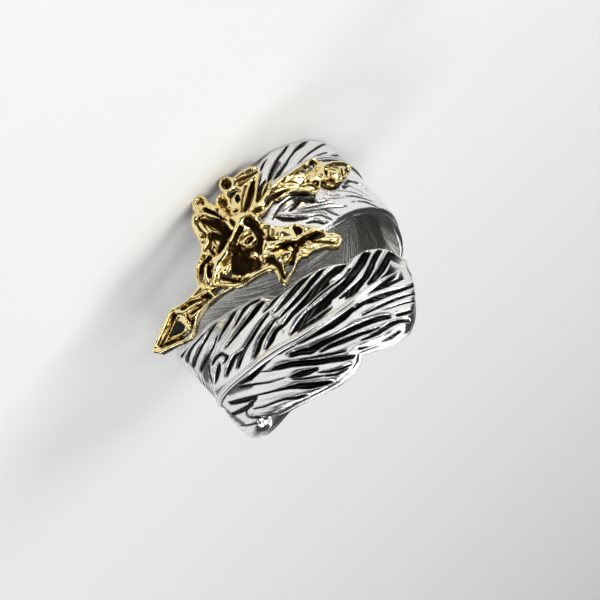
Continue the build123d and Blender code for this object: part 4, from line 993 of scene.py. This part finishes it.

# Hollows of the head, cut from above: how black each is, partly oxide and partly painted shade and
# dark reflection in the recess, and its chain, whose third value is the level that the cut reaches
# down to
HEAD_HOLLOWS = {
    "socket_top": (1, [(160, 191, 560, 19), (123, 266, 550, 37), (92, 348, 540, 49), (88, 419, 540, 49)]),
    "socket_low": (1, [(187, 357, 550, 31), (135, 444, 550, 43), (189, 485, 560, 37), (226, 507, 590, 23)]),
    "socket_foot": (1, [(234, 407, 590, 10), (273, 422, 590, 10), (280, 476, 590, 12)]),
    # The cheek's hollows, down to under_eye, are shallow; the black in them is a painted dark reflection.
    "cheek_top": (0.9, [(-89, 524, 720, 28), (-106, 595, 710, 31), (-78, 685, 700, 19),
        (-12, 759, 690, 30)]),
    "cheek_left": (0.9, [(-23, 524, 740, 16), (65, 559, 730, 12), (143, 601, 710, 17)]),
    "cheek_mid": (0.88, [(81, 705, 690, 48), (156, 717, 680, 70), (89, 791, 670, 61)]),
    "cheek_foot": (0.9, [(227, 733, 670, 43), (164, 803, 650, 37), (77, 825, 640, 43)]),
    "cheek_wedge": (0.7, [(178, 624, 700, 12), (219, 625, 690, 13), (266, 630, 690, 11)]),
    "under_eye": (0.9, [(112, 577, 720, 21), (87, 688, 700, 21), (-5, 729, 700, 23)]),
    "eye_slit": (0.7, [(43, 599, 740, 5), (-3, 600, 740, 5), (-56, 614, 740, 5)]),
    "eye_slit_b": (0.9, [(64, 627, 710, 5), (49, 679, 710, 6), (17, 704, 710, 6), (-29, 695, 710, 6)]),
    "pupil": (1, [(6, 650, 650, 17), (-27, 652, 650, 17)]),
    "bump_gap": (0.95, [(110, 772, 650, 9), (71, 816, 650, 9)]),
    "chin_band": (0.95, [(360, 687, 610, 14), (311, 770, 610, 14), (264, 835, 610, 9), (197, 859, 610, 8)]),
    "rail_line": (0.5, [(4, 1070, 630, 4), (-16, 1017, 650, 4), (-10, 963, 660, 4), (23, 924, 650, 4)]),
    "jaw_hollow": (0.97, [(5, 861, 550, 14), (-38, 898, 540, 21), (-49, 963, 530, 21), (-32, 1018, 530, 14),
        (-9, 1072, 530, 11)]),
    "jaw_hollow_b": (0.92, [(-219, 948, 540, 17), (-179, 994, 540, 16), (-122, 1021, 530, 23),
        (-73, 1043, 520, 17)]),
    # On the cheek again, the black of these two is a painted dark reflection.
    "cheek_dim": (0.9, [(89, 613, 710, 23), (161, 652, 690, 30), (217, 708, 670, 33), (192, 807, 640, 26)]),
    "cheek_back": (0.95, [(-14, 855, 590, 14), (-57, 891, 580, 10)]),
    "brow_groove": (0.95, [(91, 123, 510, 8), (84, 154, 520, 17), (68, 200, 540, 14), (51, 258, 560, 9),
        (32, 322, 600, 6), (15, 379, 630, 4)]),
    "bar_line": (0.6, [(42, 219, 640, 4), (22, 278, 670, 4), (3, 343, 710, 4)]),
    "brow_end": (0.85, [(-3, 394, 700, 8), (-6, 431, 720, 11), (-2, 474, 740, 7)]),
    "knob_hollow": (0.72, [(100, 43, 540, 13), (81, 40, 540, 14), (69, 62, 540, 13), (68, 88, 540, 10)]),
    "knob_arc": (0.6, [(62, 33, 580, 4), (43, 56, 580, 4), (39, 81, 580, 4)]),
    "left_curve": (0.92, [(161, 160, 590, 7), (189, 168, 590, 7), (214, 194, 590, 7), (222, 238, 590, 8),
        (217, 284, 590, 8), (210, 310, 590, 6)]),
    "left_pool": (0.72, [(247, 297, 590, 14), (229, 318, 590, 15)]),
    "left_pool_b": (0.8, [(270, 332, 600, 8), (279, 347, 600, 7)]),
    "left_slit": (0.8, [(276, 400, 600, 6), (314, 411, 600, 7)]),
    "left_slit_b": (0.88, [(207, 355, 600, 5), (224, 394, 600, 6), (264, 419, 600, 7)]),
    "nostril": (0.97, [(323, 475, 540, 14), (378, 480, 540, 17), (429, 488, 530, 19), (469, 513, 520, 16)]),
    "nostril_lip": (0.85, [(372, 436, 610, 5), (375, 463, 620, 6)]),
    "nostril_b": (0.97, [(337, 539, 610, 10), (378, 558, 600, 12), (416, 591, 590, 12),
        (436, 613, 590, 7)]),
    "nostril_b2": (0.75, [(333, 566, 690, 5), (375, 599, 690, 6)]),
    "almond_left": (0.85, [(482, 543, 620, 4), (500, 592, 620, 5), (509, 625, 610, 4)]),
    "almond_right": (0.85, [(415, 632, 650, 4), (461, 651, 630, 4), (493, 638, 610, 4)]),
    "mane_dot": (1, [(-153, 636, 700, 6), (-150, 642, 700, 6)]),
    "mane_gap": (0.95, [(-125, 635, 650, 6), (-114, 687, 630, 7)]),
    "mane_gap_b": (0.95, [(-172, 669, 680, 6), (-140, 706, 650, 7), (-134, 756, 630, 8),
        (-171, 794, 630, 6)]),
    "mane_gap_c": (0.9, [(-196, 708, 670, 4), (-167, 746, 670, 5)]),
    "mane_gap_d": (0.85, [(-203, 752, 670, 4), (-181, 785, 670, 4)]),
    "mane_curl": (0.85, [(-72, 789, 650, 4), (-75, 824, 640, 5), (-98, 841, 640, 5), (-123, 824, 640, 4)]),
    "mane_side": (0.95, [(-119, 716, 620, 7), (-116, 745, 600, 9)]),
    "ear_pit": (1, [(-344, 819, 530, 29), (-342, 839, 530, 30)]),
    "ear_line": (0.75, [(-227, 648, 670, 4), (-238, 695, 690, 5), (-280, 731, 690, 4),
        (-321, 753, 670, 3)]),
    "ear_band": (1, [(-82, 834, 580, 10), (-134, 844, 560, 14), (-185, 855, 560, 16), (-224, 883, 560, 13),
        (-247, 933, 550, 19), (-232, 965, 540, 16)]),
    "ear_dark": (1, [(-283, 924, 550, 17), (-338, 923, 540, 16), (-396, 934, 530, 17), (-451, 949, 520, 16),
        (-477, 981, 520, 10)]),
    "horn_dark": (0.97, [(-386, 979, 540, 8), (-407, 1011, 550, 9), (-437, 1032, 540, 7),
        (-484, 1070, 550, 10), (-519, 1116, 550, 11)]),
    "horn_eye": (0.85, [(-334, 983, 600, 5), (-341, 994, 600, 5)]),
    "curl_gap": (0.9, [(-247, 999, 560, 3), (-260, 1035, 560, 3), (-294, 1057, 560, 3)]),
    "low_squiggle": (0.65, [(-115, 913, 630, 3), (-114, 943, 620, 4), (-137, 950, 630, 3)]),
    "round_hole": (0.88, [(-176, 70, 440, 33), (-172, 94, 440, 33)]),
    "pip_hole": (0.8, [(-57, 173, 490, 26), (-53, 211, 500, 24)]),
    "pip_hole_b": (1, [(-164, 246, 470, 17), (-154, 275, 490, 17)]),
    "pip_arc": (0.8, [(-95, 253, 560, 5), (-120, 217, 540, 5), (-152, 207, 540, 5), (-174, 213, 540, 4)]),
    "pip_hole_c": (0.92, [(-77, 343, 590, 14), (-91, 346, 590, 13)]),
    "pip_dot": (1, [(15, 221, 550, 9), (22, 235, 550, 9)]),
    "pip_line": (0.8, [(-28, 231, 560, 4), (-44, 259, 580, 6), (-38, 310, 620, 6), (-24, 365, 700, 6)]),
    "pip_line_b": (0.7, [(-10, 286, 640, 3), (-14, 338, 690, 4)]),
    "lobe_mouth": (0.85, [(-257, 112, 470, 9), (-323, 127, 470, 16), (-394, 142, 470, 14),
        (-463, 147, 460, 6)]),
    "lobe_mouth_b": (0.68, [(-252, 147, 500, 12), (-297, 162, 500, 13), (-346, 165, 490, 7)]),
    "slot_line": (0.85, [(-289, 199, 500, 5), (-206, 268, 550, 6), (-148, 335, 610, 6),
        (-106, 400, 680, 5)]),
    "slot_a": (1, [(-363, 207, 430, 10), (-295, 260, 450, 17), (-232, 317, 510, 18), (-177, 365, 560, 17),
        (-132, 403, 610, 10)]),
    "slot_b": (1, [(-406, 269, 450, 11), (-349, 314, 470, 13), (-294, 369, 530, 12), (-253, 408, 590, 7)]),
    "slot_c": (1, [(-432, 308, 460, 5), (-364, 357, 520, 8), (-307, 395, 560, 8), (-279, 408, 600, 5)]),
    "crest_spot": (0.95, [(-176, 463, 670, 11), (-203, 478, 670, 16), (-234, 486, 640, 12)]),
    "plume_slit": (0.85, [(-392, 393, 610, 5), (-442, 399, 600, 8), (-507, 419, 580, 4)]),
    "plume_slit_b": (0.88, [(-547, 393, 580, 4), (-589, 405, 580, 10), (-626, 439, 560, 9),
        (-655, 470, 550, 4)]),
    "plume_under": (1, [(-294, 472, 590, 8), (-348, 446, 560, 10), (-411, 442, 540, 12),
        (-464, 452, 530, 9), (-528, 461, 520, 5)]),
    "plume_wedge": (0.92, [(-648, 494, 540, 7), (-701, 496, 530, 13), (-740, 524, 520, 16),
        (-753, 568, 520, 10)]),
    "leaf_pit": (0.95, [(-877, 338, 520, 13), (-858, 369, 520, 13)]),
    "leaf_dot": (0.7, [(-945, 333, 560, 6), (-949, 339, 560, 6)]),
    "leaf_line": (0.65, [(-756, 393, 580, 3), (-718, 440, 560, 4), (-755, 464, 560, 3)]),
    "leaf_line_b": (0.65, [(-791, 395, 580, 4), (-846, 417, 580, 4), (-908, 405, 580, 3)]),
    "bud_pit": (1, [(-961, 444, 500, 14), (-923, 480, 500, 14)]),
    "bud_pit_b": (0.92, [(-1014, 445, 530, 7), (-1034, 473, 530, 8)]),
    "bud_pit_c": (0.9, [(-952, 497, 550, 5), (-983, 501, 550, 5)]),
    "bud_pit_d": (1, [(-1126, 484, 500, 13), (-1117, 518, 500, 15)]),
    "bud_pit_e": (0.9, [(-1178, 489, 530, 8), (-1220, 500, 530, 6)]),
    "bud_under": (0.85, [(-889, 534, 520, 8), (-928, 585, 520, 6), (-1010, 596, 520, 6)]),
    "loop_hole": (0.98, [(604, 670, 520, 12), (565, 692, 530, 16), (547, 727, 530, 12)]),
    "loop_hole_b": (0.9, [(618, 716, 530, 6), (581, 730, 530, 7)]),
    "loop_line": (0.8, [(642, 612, 580, 5), (596, 627, 590, 6), (552, 638, 600, 5), (514, 667, 610, 5),
        (497, 697, 610, 6)]),
    "fold_spot": (0.85, [(809, 601, 530, 7), (772, 609, 530, 10)]),
    "fold_line": (0.95, [(742, 611, 520, 7), (698, 628, 530, 9), (649, 661, 540, 8), (618, 678, 530, 5)]),
    "fold_gap": (1, [(775, 694, 520, 9), (723, 706, 520, 10), (669, 716, 520, 7)]),
    "fold_gap_b": (1, [(808, 677, 510, 7), (828, 715, 510, 10), (818, 745, 510, 10), (787, 745, 510, 7)]),
    "beak_groove": (0.95, [(901, 596, 490, 7), (977, 628, 490, 9), (1037, 652, 490, 10),
        (1112, 672, 470, 13), (1176, 680, 460, 9)]),
    "beak_groove_b": (0.95, [(1171, 692, 460, 7), (1107, 715, 470, 10), (1037, 749, 470, 9),
        (967, 783, 470, 9), (907, 800, 470, 10), (872, 801, 470, 7)]),
    "neck_gap": (0.95, [(482, 711, 560, 9), (485, 742, 550, 10), (505, 748, 550, 5)]),
    "neck_gap_b": (0.85, [(452, 750, 590, 5), (392, 780, 590, 5)]),
    "drop_pocket": (1.0, [(925, 690, 525, 60), (1035, 695, 525, 18)]),
}


def clay_stroke(grid, a, b, upward):
    """Distance to a tapered stroke; a ridge is filled below, a hollow is open above."""
    along, across, up = grid
    dx, dy = b[0] - a[0], b[1] - a[1]
    length = max(dx * dx + dy * dy, 1e-12)
    s = np.clip(((along - a[0]) * dx + (across - a[1]) * dy) / length, 0, 1)
    girth = a[3] + (b[3] - a[3]) * s
    level = a[2] + (b[2] - a[2]) * s
    level = level + girth if upward else level - girth
    lift = level - up if upward else up - level
    flat = (along - a[0] - dx * s) ** 2 + (across - a[1] - dy * s) ** 2
    return np.sqrt(flat + np.maximum(lift, 0) ** 2) - girth


def melt(a, b, amount):
    """Union of two distances with a rounded valley."""
    h = np.clip(0.5 + 0.5 * (b - a) / amount, 0, 1)
    return b + (a - b) * h - amount * h * (1 - h)


# The seat on the band: how wide the quill lifts it, where the free beak begins, how much deeper
# the beak is, and the middle and half width of its keel as shares of face_width
seat_radius = finger_radius + spine_wall
quill_width = 0.0008
straight_turn = -12.0
beak_depth = 0.0006
keel_middle = 0.685
keel_half = 0.11


def seat_rise(along, across):
    """Rise over the bore of the face that the head sits on: the band's crests and a gap."""
    turn = -np.degrees(along / seat_radius)
    quill = smooth(QUILL, turn) * ring_height
    edge = np.where(across < quill, smooth(FAR_EDGE, turn), smooth(NEAR_EDGE, turn)) * ring_height
    share = np.clip((across - quill) / (edge - quill), 0, 1)
    rise = band_crown(share) - finger_radius
    rise = rise + quill_rise * np.maximum(0, 1 - np.abs(across - quill) / quill_width) + head_gap
    past_end = along - math.radians(-head_end_turn) * seat_radius - 2 * head_gap
    keel = np.clip(1 - ((across - keel_middle * face_width) / (keel_half * face_width)) ** 2, 0, 1)
    return rise - beak_depth * keel * np.clip(past_end / beak_depth, 0, 1)


def wrap(along, across, rise):
    """Lay a point of the flat head round the ring, or straight out past the beak's root."""
    end = math.radians(-straight_turn)
    angle = np.minimum(along / seat_radius, end)
    straight = np.maximum(along - end * seat_radius, 0)
    radius = finger_radius + rise
    x = radius * np.sin(angle) + straight * math.cos(end)
    y = -radius * np.cos(angle) + straight * math.sin(end)
    return np.stack([x, y, np.maximum(across, 0)], axis=1)


def blur(field, width):
    """Soften a gridded field with a bell of the given width in cells."""
    reach = int(3 * width)
    bell = np.exp(-0.5 * (np.arange(-reach, reach + 1) / width) ** 2)
    bell /= bell.sum()
    for axis in range(3):
        padded = np.pad(field, [(reach, reach) if k == axis else (0, 0) for k in range(3)], mode="edge")
        total = np.zeros_like(field)
        for k, weight in enumerate(bell):
            cut = [slice(None)] * 3
            cut[axis] = slice(k, k + field.shape[axis])
            total += weight * padded[tuple(cut)]
        field = total
    return field


def sample(field, low, step, points):
    """Read a gridded field at points by the nearest cell's corners."""
    place = (points - low) / step
    cell = np.clip(place.astype(int), 0, np.array(field.shape) - 2)
    part = np.clip(place - cell, 0, 1)
    value = 0
    for corner in itertools.product((0, 1), repeat=3):
        weight = np.prod([part[:, k] if corner[k] else 1 - part[:, k] for k in range(3)], axis=0)
        value = value + weight * field[tuple((cell + corner).T)]
    return value


def skin(field, low, step):
    """Points and quads of the surface where a gridded distance field is zero."""
    size = np.array(field.shape)
    corners = list(itertools.product((0, 1), repeat=3))
    edges = [(p, q) for p in corners for q in corners if p < q and sum(a != b for a, b in zip(p, q)) == 1]
    total = np.zeros(list(size - 1) + [3], np.float32)
    count = np.zeros(size - 1, np.float32)
    for p, q in edges:
        fp, fq = [field[c[0]:size[0] - 1 + c[0], c[1]:size[1] - 1 + c[1], c[2]:size[2] - 1 + c[2]]
                  for c in (p, q)]
        cut = (fp < 0) != (fq < 0)
        share = np.where(cut, fp / np.where(cut, fp - fq, 1), 0)
        for axis in range(3):
            total[..., axis] += np.where(cut, p[axis] + share * (q[axis] - p[axis]), 0)
        count += cut
    cells = np.argwhere(count > 0)
    index = -np.ones(size - 1, int)
    index[tuple(cells.T)] = np.arange(len(cells))
    mean = total[tuple(cells.T)] / count[tuple(cells.T)][:, None]
    quads = []
    for axis in range(3):
        u, v = (axis + 1) % 3, (axis + 2) % 3
        low_side, high_side = [slice(None)] * 3, [slice(None)] * 3
        low_side[axis], high_side[axis] = slice(0, -1), slice(1, None)
        here, there = field[tuple(low_side)] < 0, field[tuple(high_side)] < 0
        at = np.argwhere(here != there)
        ring = []
        for du, dv in ((-1, -1), (0, -1), (0, 0), (-1, 0)):
            cell = at.copy()
            cell[:, u] += du
            cell[:, v] += dv
            ring.append(index[tuple(cell.T)])
        ring = np.stack(ring, 1)
        outward = here[tuple(at.T)]
        quads.append(np.where(outward[:, None], ring, ring[:, ::-1]))
    return low + (cells + mean) * step, np.concatenate(quads)


def strokes(chain):
    """The strokes of a chain of the tables above, in metres, as pairs of ends."""
    scale = (face_width, face_width, head_rise, face_width)
    nodes = [tuple(part / 1000 * unit for part, unit in zip(node, scale)) for node in chain]
    return zip(nodes, nodes[1:])


def around(axes, a, b, margin):
    """The part of the grid that lies within a margin of a stroke."""
    box = []
    for k in range(2):
        first = np.searchsorted(axes[k], min(a[k], b[k]) - margin)
        last = np.searchsorted(axes[k], max(a[k], b[k]) + margin)
        box.append(slice(first, max(last, first + 1)))
    return tuple(box)


# The clay: its grid's step, and over how many cells it is softened; how softly strokes melt,
# up to four times as softly where they are stout, and hollows are lipped, as shares of
# face_width; and the room left round a stroke and round them all
clay_step = 0.000095
clay_softness = 0.78
valley_round = 0.008
lip_round = 0.004
stout = (0.0004, 0.0008)
stroke_margin = 0.0004
grid_margin = 0.0010
room_above = 0.0003
far_off = 0.002

# The black of a hollow, partly oxide and partly painted shade and reflection: how high it reaches
# over the cut, and over what distance it fades. Painted shade where the clay crowds round a point,
# as in a crease: over how many cells it is felt, and from what share of clay on. And painted shade
# at the foot of the head, where it meets the band, gone over the heights of foot_fade.
hollow_black_lift = 0.00012
hollow_black_edge = (-0.00003, 0.00007)
crowding_cells = 2.4
crowded_from, crowding_gain, crowding_limit = 0.62, 3.0, 0.60
foot_shade = 0.9
foot_fade = (0.00010, 0.00040)


def clay_field(axes):
    """The head's clay as distances, ridges melted together and hollows cut, and the black of its hollows,
    partly oxide and partly painted shade.
    """
    body = np.full([len(a) for a in axes], far_off, np.float32)
    hollow_black = np.zeros_like(body)

    def near(a, b, soft):
        box = around(axes, a, b, max(a[3], b[3]) + 3 * soft + stroke_margin)
        return box, np.meshgrid(axes[0][box[0]], axes[1][box[1]], axes[2], indexing="ij")

    for chain in HEAD_RIDGES.values():
        for a, b in strokes(chain):
            soft = valley_round * face_width * (1 + 3 * float(ramp(*stout, a[3])))
            box, grid = near(a, b, soft)
            body[box] = melt(body[box], clay_stroke(grid, a, b, False), soft)
    for black, chain in HEAD_HOLLOWS.values():
        for a, b in strokes(chain):
            box, grid = near(a, b, 0)
            cut = clay_stroke(grid, a, b, True)
            body[box] = -melt(-body[box], cut, lip_round * face_width)
            # The hollow's black, partly oxide and partly painted shade, reaches a little above the cut.
            lifted = [(x, y, z + hollow_black_lift, girth) for x, y, z, girth in (a, b)]
            cut = np.minimum(cut, clay_stroke(grid, *lifted, False))
            hollow_black[box] = np.maximum(hollow_black[box], black * (1 - ramp(*hollow_black_edge, cut)))
    return body, hollow_black


def phoenix_head():
    """Skin the clay, keep it off the band's crests, and bend it round the ring."""
    nodes = np.array([node for chain in HEAD_RIDGES.values() for node in chain]) / 1000 * face_width
    low = np.array([nodes[:, 0].min(), nodes[:, 1].min(), 0.0]) - grid_margin
    low[2] = rim_wall * 0.8 - beak_depth
    high = np.array([nodes[:, 0].max(), nodes[:, 1].max(), 0.0]) + grid_margin
    high[2] = head_rise + room_above
    axes = [np.arange(low[k], high[k], clay_step) for k in range(3)]
    field, hollow_black = clay_field(axes)
    seat = seat_rise(*np.meshgrid(axes[0], axes[1], indexing="ij"))
    # How crowded the clay is round each point, for painted shade in its creases.
    crowding = blur(np.clip(-field / clay_step, 0, 1), crowding_cells)
    field = blur(field, clay_softness)
    field = np.maximum(field, seat[:, :, None] - axes[2][None, None, :])
    points, quads = skin(field, low, clay_step)
    crowding = sample(crowding, low, clay_step, points)
    # Painted shade where the clay crowds round a point.
    recess = np.clip((crowding - crowded_from) * crowding_gain, 0, crowding_limit)
    # The black of the hollows, partly oxide and partly painted shade and reflection.
    recess = np.maximum(recess, sample(hollow_black, low, clay_step, points))
    # Painted shade at the foot of the head, where it meets the band.
    seat = seat_rise(points[:, 0], points[:, 1])
    recess = np.maximum(recess, foot_shade * (1 - ramp(*foot_fade, points[:, 2] - seat)))
    points[:, 2] = np.maximum(points[:, 2], seat)
    casting = Casting()
    casting.add(wrap(*points.T), recess)
    casting.faces = quads.tolist()
    return casting.piece("phoenix_head_gold")


head = phoenix_head()
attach(head, "root")
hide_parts("phoenix_head")

gold = metal(
    "gold_plating", clean=(1.00, 0.84, 0.44), satin=(0.94, 0.72, 0.28), patina_and_shade=(0.36, 0.22, 0.07),
    oxide_and_shade=(0.022, 0.012, 0.004), spread=0.56, grain_size=6000.0, line_size=0.6, streaks=0.25,
    smoothness=0.12)
head.data.materials.append(gold)

# The drop let into the beak: black enamel, fired glossy and rubbed level with its rim, which
# left it a faint orange peel and a few dull specks.
inlay = bpy.data.objects["beak_inlay"]
enamel, enamel_tree, enamel_sockets = new_material("black_enamel")
enamel_sockets["IOR"].default_value = 1.28
enamel_place = add_node(enamel_tree, "TexCoord", {}).outputs["Object"]
peel = add_node(enamel_tree, "TexNoise", {"Vector": enamel_place, "Scale": 3500, "Detail": 3}).outputs["Fac"]
depths = add_node(enamel_tree, "ValToRGB", {"Fac": peel})
depths.color_ramp.elements[0].color = (0.0015, 0.0018, 0.0016, 1)
depths.color_ramp.elements[1].color = (0.012, 0.012, 0.010, 1)
gloss = add_node(enamel_tree, "MapRange", {
    "Value": peel, "From Min": 0.45, "From Max": 0.80, "To Min": 0.05, "To Max": 0.35,
})
peel_bump = add_node(enamel_tree, "Bump", {"Height": peel, "Strength": 0.3, "Distance": 0.00003})
enamel_tree.links.new(depths.outputs["Color"], enamel_sockets["Base Color"])
enamel_tree.links.new(gloss.outputs["Result"], enamel_sockets["Roughness"])
enamel_tree.links.new(peel_bump.outputs["Normal"], enamel_sockets["Normal"])
inlay.data.materials.clear()
inlay.data.materials.append(enamel)
